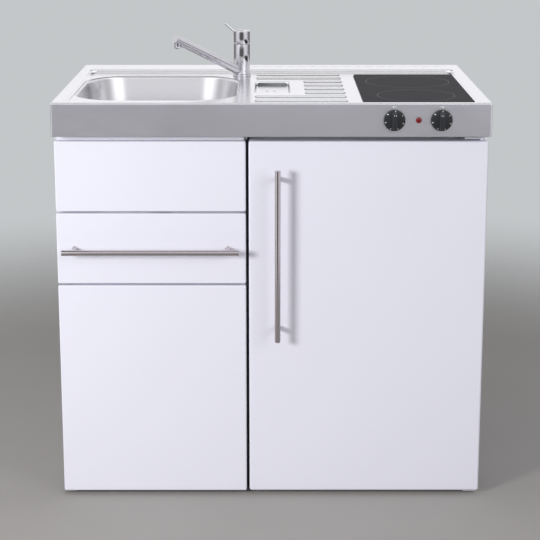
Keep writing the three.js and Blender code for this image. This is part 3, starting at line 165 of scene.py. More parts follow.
def surround(graph):
    """The light of the room, the plain wall that the camera sees and the room that steel mirrors.

    The mirrored room has a bright wall behind the unit and soft boxes at both sides. Behind the
    camera it is dark at the bottom and bright above, brightest at two windows that end below a
    dark lintel. The ceiling is dim in the middle.
    """
    direction = graph.node("ShaderNodeTexCoord", output="Generated")
    x, y, z = [graph.node("ShaderNodeSeparateXYZ", {}, (direction,), axis) for axis in "XYZ"]
    bearing = graph.node("ShaderNodeMath", {"operation": "ARCTAN2"}, (x, y)) / (2 * math.pi) + 0.5
    around = graph.ramp(bearing, [
        (0.0, 0.10), (0.06, 0.16), (0.12, 1.05), (0.18, 1.0), (0.25, 0.45), (0.30, 0.15),
        (0.37, 0.45), (0.50, 0.98), (0.60, 0.40), (0.66, 0.12), (0.74, 0.45), (0.82, 1.0),
        (0.89, 0.95), (0.95, 0.14)])
    ceiling = graph.mix(graph.ease(abs(x), 0.30, 0.55),
                        graph.ramp(z, [(0.0, 1.02), (0.38, 1.0), (0.56, 0.13), (1.0, 0.16)]),
                        (0.95, 0.95, 0.97))
    windows = graph.mix(graph.ease(z, 0.74, 0.90),
                        graph.ramp(abs(x), [(0.0, 0.98), (0.27, 1.0), (0.42, 1.9), (0.68, 1.7),
                                            (0.88, 0.6)]),
                        (0.2, 0.2, 0.21))
    above = graph.mix(graph.ease(y, 0.02, -0.34), ceiling, windows)
    mirrored = graph.mix(graph.ease(z, 0.0, 0.14), around, above)
    lit = graph.mix(graph.node("ShaderNodeLightPath", output="Is Glossy Ray"),
                    (0.33, 0.33, 0.345), mirrored)
    return graph.mix(graph.node("ShaderNodeLightPath", output="Is Camera Ray"),
                     lit, (0.55, 0.57, 0.58))


world = bpy.data.worlds.new("studio")
bpy.context.scene.world = world
world.use_nodes = True
studio = Graph(world.node_tree)
studio.feed(world.node_tree.nodes["Background"].inputs["Color"], surround(studio))


class Finish:
    """A material with its plain constants set, and its graph and place for what varies."""

    def __init__(self, name, colour, roughness, metallic=0.0, coat=0.0):
        self.material = bpy.data.materials.new(name)
        self.material.use_nodes = True
        self.graph = Graph(self.material.node_tree)
        self.shader = self.material.node_tree.nodes["Principled BSDF"]
        self.place = self.graph.node("ShaderNodeTexCoord", output="Object")
        self.put({"Base Color": (*colour, 1), "Roughness": roughness, "Metallic": metallic,
                  "Coat Weight": coat})

    def put(self, values):
        """Sets or feeds these inputs of the shader, and gives the material."""
        for name, value in values.items():
            self.graph.feed(self.shader.inputs[name], value)
        return self.material

    def noise(self, scale, detail=2.0, stretch=None):
        """Clouds of this scale, or streaks where the place is first stretched along its axes."""
        place = self.place
        if stretch:
            place = self.graph.node("ShaderNodeMapping", {}, {"Vector": place, "Scale": stretch})
        return self.graph.node("ShaderNodeTexNoise", {},
                               {"Vector": place, "Scale": scale, "Detail": detail})

    def bump(self, height, strength, distance):
        return self.graph.node("ShaderNodeBump", {}, {"Strength": strength, "Distance": distance,
                                                      "Height": height})

    def length(self, vector):
        return self.graph.node("ShaderNodeVectorMath", {"operation": "LENGTH"}, (vector,), "Value")


def floor_finish():
    """Matt floor with a faint mottling, which fades out a few metres from the object."""
    finish = Finish("floor_warm", (0.43, 0.415, 0.395), 0.7)
    graph = finish.graph
    finish.put({"Base Color": graph.mix(finish.noise(3.0, 3.0), (0.385, 0.37, 0.35),
                                        (0.43, 0.415, 0.395))})
    clear = graph.node("ShaderNodeBsdfTransparent", output="BSDF")
    blend = graph.node("ShaderNodeMixShader", {}, {
        0: graph.ease(finish.length(finish.place), 1.0, 2.6),
        1: Socket(graph, finish.shader.outputs[0]), 2: clear})
    graph.feed(finish.material.node_tree.nodes["Material Output"].inputs["Surface"], blend)
    return finish.material


floor_reach = 3.0
floor_mesh = bpy.data.meshes.new("floor")
floor_mesh.from_pydata([(-floor_reach, -floor_reach, 0), (floor_reach, -floor_reach, 0),
                        (floor_reach, floor_reach, 0), (-floor_reach, floor_reach, 0)],
                       [], [(0, 1, 2, 3)])
floor_mesh.materials.append(floor_finish())
linked("floor", floor_mesh)


def soft_lamp(name, position, target, size, watts, mirrored=True):
    """A square lamp that faces the target; steel and gloss can be kept from mirroring it."""
    data = bpy.data.lights.new(name, "AREA")
    data.shape = "SQUARE"
    data.size = size
    data.energy = watts
    lamp = linked(name, data)
    lamp.location = position
    lamp.rotation_euler = (Vector(target) - Vector(position)).to_track_quat("-Z", "Y").to_euler()
    lamp.visible_glossy = mirrored


soft_lamp("lamp_left", (-1.9, -2.3, 1.22), (0, 0, 0.75), 0.6, 52, mirrored=False)
soft_lamp("lamp_right", (2.0, -2.3, 1.6), (0, 0, 0.75), 1.4, 21, mirrored=False)
soft_lamp("lamp_top", (0, 0.2, 3.2), (0, 0, 0.8), 2.0, 10)


# ---- Worktop ----------------------------------------------------------------------------------
# Stainless steel with a raised rim, a sunk deck, drainer ribs, a slotted overflow recess and a
# drawn bowl; the apron is folded down round it. The deck is finely ground and bright, the apron
# coarser. The apron's grey and the bowl's darker tone are painted shade on the one steel. Holes
# for waste, hob, tap and hot air are punched in it.

body_of = {node: body for body, group in frame["record"]["behaviour"]["bodies"].items()
           for node in group}


def stands_for(piece, *nodes):
    """The piece takes these nodes' place: their body carries it, and the nodes are hidden."""
    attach(piece, body_of[nodes[0]])
    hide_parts(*nodes)
    return piece


def goes_with(piece, node):
    """The piece is an extra detail on this node."""
    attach(piece, body_of[node])
    return piece


def brushed_steel(name, tone, roughness, stretch, depth=0.00004):
    """Ground steel: streaks drawn out along one axis vary its tone, gloss and surface."""
    finish = Finish(name, tone, roughness, 1.0)
    streak, cloud = finish.noise(1.0, 4.0, stretch), finish.noise(5.0)
    dark = tuple(0.9 * channel for channel in tone)
    light = tuple(min(1.0, 1.06 * channel) for channel in tone)
    return finish.put({"Base Color": finish.graph.mix(streak * 0.6 + cloud * 0.4, dark, light),
                       "Roughness": streak * 0.14 + cloud * 0.06 + (roughness - 0.1),
                       "Normal": finish.bump(streak, 0.5, depth)})


deck_steel = brushed_steel("steel_deck", (0.88, 0.88, 0.895), 0.21, (30, 700, 60), 0.00002)
# Painted shade: the apron and the bowl are the deck's own steel, given darker tones where the sheet
# turns down and sinks.
apron_steel_painted_shade = brushed_steel("steel_apron_painted_shade", (0.765, 0.765, 0.81), 0.44, (18, 300, 900))
bowl_steel_painted_shade = brushed_steel("steel_bowl_painted_shade", (0.74, 0.735, 0.755), 0.24, (60, 60, 500))


def rectangle(x0, x1, y0, y1, radius, steps=8):
    """Points of a rectangle with round corners, anticlockwise, as (x, y)."""
    points = []
    for quarter, (x, y) in enumerate([(x1, y1), (x0, y1), (x0, y0), (x1, y0)]):
        cx = x - radius if x == x1 else x + radius
        cy = y - radius if y == y1 else y + radius
        for step in range(steps + 1):
            angle = (quarter + step / steps) * math.pi / 2
            points.append((cx + radius * math.cos(angle), cy + radius * math.sin(angle)))
    return points


def circle(x, y, radius, count=32):
    return [(x + radius * math.cos(2 * math.pi * i / count),
             y + radius * math.sin(2 * math.pi * i / count)) for i in range(count)]


def ring(bm, points, z):
    """A closed loop of vertices; z is one height or one for each point."""
    heights = z if isinstance(z, list) else [z] * len(points)
    return [bm.verts.new((x, y, h)) for (x, y), h in zip(points, heights)]


def bridge(bm, outer, inner):
    """Quads between two loops of the same count; anticlockwise loops face up and outwards."""
    count = len(outer)
    for i in range(count):
        j = (i + 1) % count
        bm.faces.new((outer[i], outer[j], inner[j], inner[i]))


def stack(bm, loops, ends=None):
    """Quads from each loop to the next; the ends stay open, are "capped" or are "joined"."""
    for lower, upper in zip(loops, loops[1:] + (loops[:1] if ends == "joined" else [])):
        bridge(bm, lower, upper)
    if ends == "capped":
        bm.faces.new(loops[-1])
        bm.faces.new(reversed(loops[0]))


def fill(bm, *loops):
    """A flat, horizontal face between an outer loop and the holes in it."""
    edges = []
    for loop in loops:
        for i, vert in enumerate(loop):
            after = loop[(i + 1) % len(loop)]
            edges.append(bm.edges.get((vert, after)) or bm.edges.new((vert, after)))
    made = bmesh.ops.triangle_fill(bm, edges=edges, use_beauty=True, normal=(0, 0, 1))
    for face in made["geom"]:
        if isinstance(face, bmesh.types.BMFace) and face.normal.z < 0:
            face.normal_flip()


def smoothed(piece, sharp_angle):
    """Smooth shading, except at edges sharper than this angle in degrees."""
    piece.data.shade_smooth()
    piece.data.set_sharp_from_angle(angle=math.radians(sharp_angle))
    return piece


def finished(name, bm, *materials, sharp_angle=35.0):
    """An object from a bmesh, smooth except at its sharp edges."""
    mesh = bpy.data.meshes.new(name)
    bm.to_mesh(mesh)
    bm.free()
    for material in materials:
        mesh.materials.append(material)
    return smoothed(linked(name, mesh), sharp_angle)


def applied(piece):
    """The piece with its modifiers worked into its mesh."""
    graph = bpy.context.evaluated_depsgraph_get()
    mesh = bpy.data.meshes.new_from_object(piece.evaluated_get(graph))
    piece.modifiers.clear()
    piece.data = mesh
    return piece


def combined(piece, other, operation):
    """The piece with another closed piece joined to it or cut out of it; the other is used up."""
    change = piece.modifiers.new("combine", "BOOLEAN")
    change.operation = operation
    change.solver = "EXACT"
    change.object = other
    applied(piece)
    bpy.data.objects.remove(other)
    return piece


def flattened(piece):
    """Weighs the normals by area, so that wide faces stay flat up to their rolled edges."""
    piece.modifiers.new("flat", "WEIGHTED_NORMAL").keep_sharp = True
    return applied(piece)


strip = 0.0006  # a narrow flat strip beside each bend, which keeps the wide faces flat
fine_strip = 0.0005
seat = 0.0003  # gap left where one piece rests on another
top_low, top_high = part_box("worktop")
sheet = 0.0015
rim_top = 0.860
deck_level = rim_top - 0.007
apron_bottom = top_low.z
apron_corner, least_corner = 0.004, 0.001
apron_roll = 0.0035
rear_lip = rim_top - 0.030
rear_hem = 0.0022
rim_left, rim_right = top_low.x + 0.020, top_high.x - 0.020
rim_front, rim_rear = top_low.y + 0.012, top_high.y - 0.088
step_run = 0.008
step_points = 8
deck_radius = 0.018

bowl_low, bowl_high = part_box("sink_bowl")
bowl_flange = 0.012
bowl_x = (bowl_low.x + bowl_high.x) / 2
bowl_y = (bowl_low.y + bowl_high.y) / 2
bowl_half_x = (bowl_high.x - bowl_low.x) / 2 - bowl_flange
bowl_half_y = (bowl_high.y - bowl_low.y) / 2 - bowl_flange
bowl_radius = 0.092
bowl_lip = 0.007
bowl_floor = deck_level - 0.130
bowl_draft = 0.014
bowl_bend = 0.034
bowl_corner_steps = 16
waste_hole = 0.029

glass_low, glass_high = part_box("hob_glass")
glass_lap = 0.009
tap_low, tap_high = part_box("tap_base")
tap_x, tap_y = (tap_low.x + tap_high.x) / 2, (tap_low.y + tap_high.y) / 2
tap_hole = 0.017

rib_right = glass_low.x - 0.029
rib_long, rib_short = 0.199, 0.092
rib_pitch = 0.056
rib_half = 0.007
rib_height = 0.003
rib_slope = 0.8 * rib_half
rib_count = 8
ribs_past_recess = range(2, 6)
first_rib = top_low.y + 0.075

recess_left = rib_right - rib_long
recess_right = recess_left + 0.078
recess_front = first_rib + 2 * rib_pitch
recess_rear = first_rib + 5 * rib_pitch + rib_half
recess_corner = 0.009
recess_drop = 0.008
recess_run = 0.004
recess_floor_level = deck_level - recess_drop
slot_margin = 0.0055
slot_height = 0.005
slot_reach = 0.006
drain_width, drain_length, drain_corner = 0.0046, 0.009, 0.0015
drain_spacing, drain_rows = 0.0155, 0.028
drain_x = (recess_left + recess_right) / 2 - 0.003
drain_y = recess_front + 0.066

vent_count = 17
vent_length, vent_width, vent_pitch = 0.021, 0.005, 0.027
vent_right = top_high.x - 0.043
vent_y = top_high.y - 0.0355


def bowl_outline(grow):
    return rectangle(bowl_x - bowl_half_x - grow, bowl_x + bowl_half_x + grow,
                     bowl_y - bowl_half_y - grow, bowl_y + bowl_half_y + grow,
                     bowl_radius + (grow if grow > 0 else grow / 2), bowl_corner_steps)


def slide_down(bm, outline_at, z_from, drop, run, points):
    """A smooth step: loops that go in by run and down by drop; the first and the last loop."""
    loops = []
    for i in range(points + 1):
        share = i / points
        z = z_from - drop * (1 - math.cos(math.pi * share)) / 2
        loops.append(ring(bm, outline_at(run * share), z))
    stack(bm, loops)
    return loops[0], loops[-1]


def rolled(bm, outline_at, top, radius, angles=(22, 45, 67, 90), margin=strip):
    """Loops round a quarter-round edge up to a flat face at the top, and one just on that face."""
    loops = [ring(bm, outline_at(radius * (1 - math.cos(turn))),
                  top - radius * (1 - math.sin(turn))) for turn in map(math.radians, angles)]
    return loops + [ring(bm, outline_at(radius + margin), top)]


def bowl_form(bm, edge):
    """The bowl below its edge: a rolled lip, drawn walls, a wide bend and a floor with a hole."""
    quarter = [math.radians(15 * i) for i in range(7)]
    sweep = [(bowl_lip * (1 - math.sin(a)), deck_level - bowl_lip * (1 - math.cos(a)))
             for a in quarter[1:]]
    sweep.append((-bowl_draft / 2, (deck_level - bowl_lip + bowl_floor + bowl_bend) / 2))
    sweep += [(-bowl_draft - bowl_bend * (1 - math.cos(a)),
               bowl_floor + bowl_bend * (1 - math.sin(a))) for a in quarter]
    loops = [edge] + [ring(bm, bowl_outline(grow), z) for grow, z in sweep]
    for share in (0.12, 0.4, 0.7, 1.0):
        points = []
        for x, y in bowl_outline(-bowl_draft - bowl_bend):
            away = Vector((x - bowl_x, y - bowl_y))
            away = away.lerp(away.normalized() * waste_hole, share)
            points.append((bowl_x + away.x, bowl_y + away.y))
        loops.append(ring(bm, points, bowl_floor))
    stack(bm, loops)


def drainer_ribs(bm):
    """The pressed ribs of the drainer, short beside the recess; their outlines on the deck."""
    outlines = []
    for i in range(rib_count):
        y = first_rib + i * rib_pitch
        left = rib_right - (rib_short if i in ribs_past_recess else rib_long)

        def rib_at(inset):
            return rectangle(left + inset, rib_right - inset, y - rib_half + inset,
                             y + rib_half - inset, rib_half - inset - 0.0001, 5)

        outlines.append(ring(bm, rib_at(-0.0004), deck_level))
        foot, crown = slide_down(bm, rib_at, deck_level, -rib_height, rib_slope, 6)
        bridge(bm, outlines[-1], foot)
        bm.faces.new(crown)
    return outlines


def punched(bm, points, z):
    """A hole whose edge is eased and turned down through the sheet; its outline on the sheet."""
    centre_x, centre_y = (sum(values) / len(points) for values in zip(*points))
    grown = []
    for x, y in points:
        away = Vector((x - centre_x, y - centre_y)).normalized()
        grown.append((x + away.x * fine_strip, y + away.y * fine_strip))
    edge = ring(bm, grown, z)
    bridge(bm, edge, ring(bm, points, z - 0.0004))
    return edge


def overflow_recess(bm):
    """The recess with its four drains; its outline on the deck."""
    def recess_at(inset):
        return rectangle(recess_left + inset, recess_right - inset, recess_front + inset,
                         recess_rear - inset, recess_corner - inset / 2, 6)

    outline = ring(bm, recess_at(-fine_strip), deck_level)
    top, foot = slide_down(bm, recess_at, deck_level, recess_drop, recess_run, 6)
    bridge(bm, outline, top)
    floor_edge = ring(bm, recess_at(recess_run + fine_strip), recess_floor_level)
    bridge(bm, foot, floor_edge)
    drains = []
    for side in (-1, 1):
        for row in (-1, 1):
            x, y = drain_x + side * drain_spacing / 2, drain_y + row * drain_rows / 2
            drains.append(punched(bm, rectangle(
                x - drain_width / 2, x + drain_width / 2, y - drain_length / 2,
                y + drain_length / 2, drain_corner, 3), recess_floor_level))
    fill(bm, floor_edge, *drains)
    return outline


def slotted(piece):
    """Cuts the overflow slot, with round ends, through the foot of the recess's rear wall."""
    bm = bmesh.new()
    outline = rectangle(recess_left + slot_margin, recess_right - slot_margin,
                        recess_floor_level - 0.004, recess_floor_level + slot_height,
                        slot_height / 2, 5)
    depths = (recess_rear - recess_run - slot_reach, recess_rear + 0.003)
    ends = [[bm.verts.new((x, y, z)) for x, z in outline] for y in depths]
    bridge(bm, *ends)
    for end in ends:
        bm.faces.new(end)
    bmesh.ops.recalc_face_normals(bm, faces=bm.faces)
    return smoothed(combined(piece, finished("slot_shape", bm, deck_steel), "DIFFERENCE"), 35)


def worktop_sheet():
    bm = bmesh.new()

    def corner_at(inset):
        return apron_corner - min(inset, apron_corner - least_corner)

    def outer_at(inset):
        return rectangle(top_low.x + inset, top_high.x - inset, top_low.y + inset,
                         top_high.y - inset, corner_at(inset), 6)

    def skirt(inset, height):
        """The lower edge of the apron; from the rear corners on it is cut higher, with no hem."""
        side_end = top_high.y - inset - corner_at(inset) + 0.00005
        points, heights = [], []
        for x, y in outer_at(inset):
            at_back = y > side_end
            points.append((x, max(y, top_high.y - rear_hem) if at_back else y))
            heights.append(height + (rear_lip if at_back else apron_bottom))
        return ring(bm, points, heights)

    def rim_at(inset):
        return rectangle(rim_left + inset, rim_right - inset, rim_front + inset,
                         rim_rear - inset, deck_radius - inset / 2, 8)

    hem = [(0.012, 0.0002), (0.0016, 0.0), (0.0005, 0.0004), (0.0, 0.0016)]
    loops = [skirt(inset, height) for inset, height in hem]
    loops += rolled(bm, outer_at, rim_top, apron_roll, (0, 22, 45, 67, 90))
    stack(bm, loops)
    apron_faces = len(bm.faces) - len(loops[-1]) * 3

    rim_inner = ring(bm, rim_at(-strip), rim_top)
    step_top, step_foot = slide_down(bm, rim_at, rim_top, rim_top - deck_level, step_run,
                                     step_points)
    bridge(bm, rim_inner, step_top)
    deck_outer = ring(bm, rim_at(step_run + strip), deck_level)
    bridge(bm, step_foot, deck_outer)

    vents = []
    for i in range(vent_count):
        right = vent_right - i * vent_pitch
        vents.append(punched(bm, rectangle(
            right - vent_length, right, vent_y - vent_width / 2, vent_y + vent_width / 2,
            vent_width / 2 - 0.00001, 4), rim_top))
    fill(bm, loops[-1], rim_inner, *vents)

    recess_outer = overflow_recess(bm)
    bowl_edge = ring(bm, bowl_outline(bowl_lip), deck_level)
    first_bowl_face = len(bm.faces)
    bowl_form(bm, bowl_edge)
    last_bowl_face = len(bm.faces)
    hob_edge = ring(bm, rectangle(glass_low.x + glass_lap, glass_high.x - glass_lap,
                                  glass_low.y + glass_lap, glass_high.y - glass_lap, 0.003, 3),
                    deck_level)
    tap_edge = ring(bm, circle(tap_x, tap_y, tap_hole), deck_level)
    fill(bm, deck_outer, bowl_edge, hob_edge, tap_edge, recess_outer, *drainer_ribs(bm))
    bm.faces.ensure_lookup_table()
    # The apron's and the bowl's faces take the darker steel tones, which are painted shade.
    for face in bm.faces[:apron_faces]:
        face.material_index = 1
    for face in bm.faces[first_bowl_face:last_bowl_face]:
        face.material_index = 2
    piece = finished("worktop_sheet", bm, deck_steel, apron_steel_painted_shade, bowl_steel_painted_shade)
    wall = piece.modifiers.new("sheet", "SOLIDIFY")
    wall.thickness = sheet * 0.9
    wall.offset = -1
    return flattened(slotted(applied(piece)))


stands_for(worktop_sheet(), "worktop", "sink_bowl")


# ---- Waste, strainer, trap and overflow -------------------------------------------------------
# A polished flange is screwed into the bowl's hole and a lift-out basket sits in it. White pipes
# and a bottle trap lead to the wall, and a grey hose comes down from the overflow recess.

def placed(piece, matrix):
    """The piece with the matrix worked into its mesh."""
    piece.data.transform(matrix)
    return piece


def turned(name, profile, material, at=(0, 0, 0), sides=64):
    """A turned piece on a vertical axis; the profile runs upwards outside, or closes on itself."""
    bm = bmesh.new()
    closed = profile[0] == profile[-1]
    points = profile[:-1] if closed else profile
    loops = []
    for radius, z in points:
        count = 1 if radius < 1e-6 else sides
        loops.append([bm.verts.new((radius * math.cos(2 * math.pi * i / sides),
                                    radius * math.sin(2 * math.pi * i / sides), z))
                      for i in range(count)])
    pairs = list(zip(loops, loops[1:])) + ([(loops[-1], loops[0])] if closed else [])
    for lower, upper in pairs:
        for i in range(sides):
            j = (i + 1) % sides
            corners = [lower[i % len(lower)], lower[j % len(lower)],
                       upper[j % len(upper)], upper[i % len(upper)]]
            unique = list(dict.fromkeys(corners))
            if len(unique) > 2:
                bm.faces.new(unique)
    bmesh.ops.recalc_face_normals(bm, faces=bm.faces)
    return placed(finished(name, bm, material, sharp_angle=32), Matrix.Translation(at))


def rounded(points, radius, steps=4):
    """A profile whose inner corners are rounded, each over less than half of its shorter side."""
    made = [points[0]]
    for before, corner, after in zip(points, points[1:], points[2:]):
        a, b, c = Vector(before), Vector(corner), Vector(after)
        reach = min(radius, (a - b).length * 0.45, (c - b).length * 0.45)
        start, end = b + (a - b).normalized() * reach, b + (c - b).normalized() * reach
        for i in range(steps + 1):
            s = i / steps
            made.append(tuple((1 - s) ** 2 * start + 2 * s * (1 - s) * b + s * s * end))
    made.append(points[-1])
    return made


def eased(node, width, material, angle=50.0):
    """Stands for a CAD node with its edges rounded by this width, if there is one."""
    bm = bmesh.new()
    bm.from_mesh(bpy.data.objects[node].data)
    bmesh.ops.remove_doubles(bm, verts=bm.verts, dist=0.00001)
    bmesh.ops.dissolve_limit(bm, angle_limit=math.radians(1.0), verts=bm.verts, edges=bm.edges)
    piece = finished(node + "_eased", bm, material)
    if width:
        edge = piece.modifiers.new("edge", "BEVEL")
        edge.width = width
        edge.segments = 2
        edge.limit_method = "ANGLE"
        edge.angle_limit = math.radians(angle)
        applied(piece)
    return stands_for(flattened(smoothed(piece, 34)), node)


def chrome_finish():
    """Polished chrome plate: almost a mirror, with faint wiping marks."""
    finish = Finish("chrome", (0.62, 0.61, 0.64), 0.06, 1.0)
    marks = finish.noise(60.0, 3.0)
    return finish.put({
        "Base Color": finish.graph.mix(marks, (0.56, 0.55, 0.58), (0.68, 0.67, 0.70)),
        "Roughness": marks * 0.07 + 0.03})


def moulded_finish(name, low, high, roughness, grain, coat=0.0, depth=0.00006):
    """Moulded plastic: a fine grain in the surface and slight clouds in its colour."""
    finish = Finish(name, high, roughness, 0.0, coat)
    fine = finish.noise(grain)
    return finish.put({"Base Color": finish.graph.mix(finish.noise(14.0), low, high),
                       "Roughness": fine * 0.12 + (roughness - 0.06),
                       "Normal": finish.bump(fine, 0.35, depth)})


chrome = chrome_finish()
white_plastic = moulded_finish("plastic_white", (0.78, 0.78, 0.78), (0.86, 0.86, 0.86), 0.30, 900)
grey_plastic = moulded_finish("plastic_grey", (0.42, 0.43, 0.45), (0.50, 0.51, 0.53), 0.45, 700)

waste_low, waste_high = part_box("waste_flange")
flange_radius = (waste_high.x - waste_low.x) / 2
flange_edge = 0.0012
bore_radius = 0.026
tail_radius = 0.020
waste_wall = 0.002
waste_at = (bowl_x, bowl_y, 0)
ledge_top = bowl_floor - 0.030
waste = turned("waste", rounded([
    (tail_radius - waste_wall, waste_low.z), (tail_radius, waste_low.z),
    (tail_radius, ledge_top), (bore_radius + waste_wall, ledge_top),
    (bore_radius + waste_wall, bowl_floor + seat), (flange_radius, bowl_floor + seat),
    (flange_radius - 0.0015, bowl_floor + flange_edge), (bore_radius + 0.004, waste_high.z),
    (bore_radius, waste_high.z - 0.002), (bore_radius, ledge_top + waste_wall),
    (tail_radius - waste_wall, ledge_top + waste_wall), (tail_radius - waste_wall, waste_low.z),
], 0.0008, 2), chrome, waste_at)
stands_for(waste, "waste_flange")

basket_low, basket_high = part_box("strainer_basket")
basket_radius = (basket_high.x - basket_low.x) / 2
basket_floor = basket_low.z
basket_top = waste_high.z - 0.001
basket_wall, basket_bend = 0.0015, 0.006
strainer_hole = 0.0016
strainer_circles = ((8, 0.008), (14, 0.0145))


def strainer():
    """The basket's wall and knob, turned, and its floor with two circles of holes."""
    wall = turned("strainer", rounded([
        (basket_radius - basket_bend, basket_floor), (basket_radius, basket_floor + basket_bend),
        (basket_radius, basket_top), (basket_radius - basket_wall, basket_top),
        (basket_radius - basket_wall, basket_floor + 0.007),
        (basket_radius - 0.007, basket_floor + basket_wall),
        (basket_radius - basket_bend, basket_floor),
    ], 0.0015, 3), chrome, waste_at)
    knob = turned("strainer_knob", rounded([
        (0, basket_floor + 0.0004), (0.003, basket_floor + 0.0004),
        (0.003, basket_high.z - 0.005), (0.0078, basket_high.z - 0.004), (0.008, basket_high.z),
        (0, basket_high.z),
    ], 0.0012, 3), chrome, waste_at)
    outlines = [circle(bowl_x, bowl_y, basket_radius - 0.0058, 48)]
    outlines += [circle(*centre, strainer_hole, 10) for count, reach in strainer_circles
                 for centre in circle(bowl_x, bowl_y, reach, count)]
    bm = bmesh.new()
    upper, lower = ([ring(bm, outline, z) for outline in outlines]
                    for z in (basket_floor + 0.0012, basket_floor + 0.0003))
    fill(bm, *upper)
    fill(bm, *lower)
    for above, below in zip(upper, lower):
        bridge(bm, below, above)
    bmesh.ops.recalc_face_normals(bm, faces=bm.faces)
    for extra in (knob, finished("strainer_floor", bm, chrome)):
        goes_with(extra, "strainer_basket")
    stands_for(wall, "strainer_basket")


strainer()
eased("trap_bottle", 0.0015, white_plastic, 40.0)
eased("trap_pipe", 0, white_plastic)
eased("overflow_pipe", 0, grey_plastic)

nut_height = 0.018
nut_ribs, nut_steps = 12, 96
rib_proud = 0.0012


def union_nut(name, at, radius, turn, node):
    """A round nut on a pipe, with twelve ribs for the fingers."""
    bm = bmesh.new()
    loops = []
    for share, grow in ((0, -0.0015), (0.08, 0), (0.92, 0), (1, -0.0015)):
        points = []
        for i in range(nut_steps):
            angle = 2 * math.pi * i / nut_steps
            reach = radius + grow + rib_proud * max(0.0, math.cos(nut_ribs * angle))
            points.append((reach * math.cos(angle), reach * math.sin(angle)))
        loops.append(ring(bm, points, share * nut_height))
    stack(bm, loops, "capped")
    goes_with(placed(finished(name, bm, white_plastic), Matrix.Translation(at) @ turn), node)


trap_low, trap_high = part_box("trap_bottle")
trap_radius = (trap_high.x - trap_low.x) / 2
trap_y = trap_low.y + trap_radius
outlet_z = trap_high.z - 0.038
upright = Matrix.Identity(4)
union_nut("nut_waste", (bowl_x, bowl_y, waste_low.z - 0.004), 0.0265, upright, "trap_pipe")
union_nut("nut_trap_top", (bowl_x, trap_y, trap_high.z - 0.006), 0.0265, upright, "trap_bottle")
union_nut("nut_outlet", (bowl_x, trap_y + trap_radius - 0.002, outlet_z), 0.0255,
          Matrix.Rotation(-math.pi / 2, 4, "X"), "trap_bottle")


# ---- Tap --------------------------------------------------------------------------------------
# A single-lever mixer, cast and chromed: a flat base ring, a column with a straight spout that
# rises to a small aerator, and a head of the same width that a thin pin lever tips and turns.

head_low, head_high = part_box("tap_head")
tap_radius = (head_high.x - head_low.x) / 2
base_radius = tap_radius + 0.0015
shank_radius = 0.016
tap_at = (tap_x, tap_y, 0)
base_top = tap_high.z
head_bottom, tap_top = head_low.z, head_high.z
neck_radius, neck_height = 0.012, 0.008
spout_radius = 0.010
spout_reach = 0.205
spout_rise = math.radians(24.6)
spout_root = deck_level + 0.0085
spout_bearing = math.radians(225)
aerator_radius, aerator_wall, aerator_height = 0.008, 0.0016, 0.009
aerator_reach = spout_reach - aerator_radius
lever_radius = 0.003
lever_rise = math.radians(42)
lever_pivot = tap_top - 0.018
lever_length = 0.037 / math.cos(lever_rise)

stands_for(turned("tap_base_ring", rounded([
    (0, tap_low.z), (shank_radius, tap_low.z), (shank_radius, deck_level + seat),
    (base_radius, deck_level + seat), (base_radius, base_top), (0.0, base_top),
], 0.0008), chrome, tap_at), "tap_base")


def fused(name, first, *others):
    """Joins closed pieces into one skin."""
    for other in others:
        combined(first, other, "UNION")
    first.name = name
    bm = bmesh.new()
    bm.from_mesh(first.data)
    bmesh.ops.remove_doubles(bm, verts=bm.verts, dist=0.000002)
    bm.to_mesh(first.data)
    bm.free()
    return smoothed(first, 32)


def tap_column():
    column = turned("column", rounded([
        (0, base_top + seat), (tap_radius, base_top + seat),
        (tap_radius, head_bottom - 0.0004), (neck_radius, head_bottom - 0.0004),
        (neck_radius, head_bottom + neck_height), (0, head_bottom + neck_height),
    ], 0.0008, 3), chrome, tap_at, 96)
    length = spout_reach / math.cos(spout_rise)
    spout = turned("spout", rounded([
        (0, 0), (spout_radius, 0), (spout_radius, length), (0, length),
    ], 0.0008, 3), chrome)
    aim = (Matrix.Translation((tap_x, tap_y, spout_root)) @ Matrix.Rotation(spout_bearing, 4, "Z")
           @ Matrix.Rotation(math.pi / 2 - spout_rise, 4, "Y"))
    return fused("tap_column", column, placed(spout, aim))


def aerator_sleeve():
    bottom = -spout_radius - aerator_height
    inner = aerator_radius - aerator_wall
    return turned("aerator", rounded([
        (inner, bottom), (aerator_radius, bottom + 0.0002), (aerator_radius, -0.0005),
        (inner, -0.0005), (inner, bottom),
    ], 0.0004, 2), chrome, (tap_x + aerator_reach * math.cos(spout_bearing),
                            tap_y + aerator_reach * math.sin(spout_bearing),
                            spout_root + aerator_reach * math.tan(spout_rise)), 48)


def tap_cap():
    """The head, with a slot in its side that the lever tips in."""
    cap = turned("tap_cap", rounded([
        (0, head_bottom), (tap_radius, head_bottom), (tap_radius, tap_top), (0, tap_top),
    ], 0.0016, 4), chrome, tap_at, 96)
    half = lever_radius + 0.0006
    foot, run = 0.005, tap_radius * 2
    low, high = lever_pivot - 0.0048, tap_top + 0.005
    slope = math.tan(lever_rise - math.radians(4))
    side = [(-foot, low), (foot, low), (run, low + (run - foot) * slope), (run, high),
            (-foot, high)]
    bm = bmesh.new()
    stack(bm, [[bm.verts.new((tap_x - x, y, z)) for x, z in side]
               for y in (tap_y - half, tap_y + half)], "capped")
    bmesh.ops.recalc_face_normals(bm, faces=bm.faces)
    return smoothed(combined(cap, finished("slot_cutter", bm, chrome), "DIFFERENCE"), 32)


stands_for(tap_column(), "tap_body")
stands_for(aerator_sleeve(), "tap_aerator")
stands_for(tap_cap(), "tap_head")

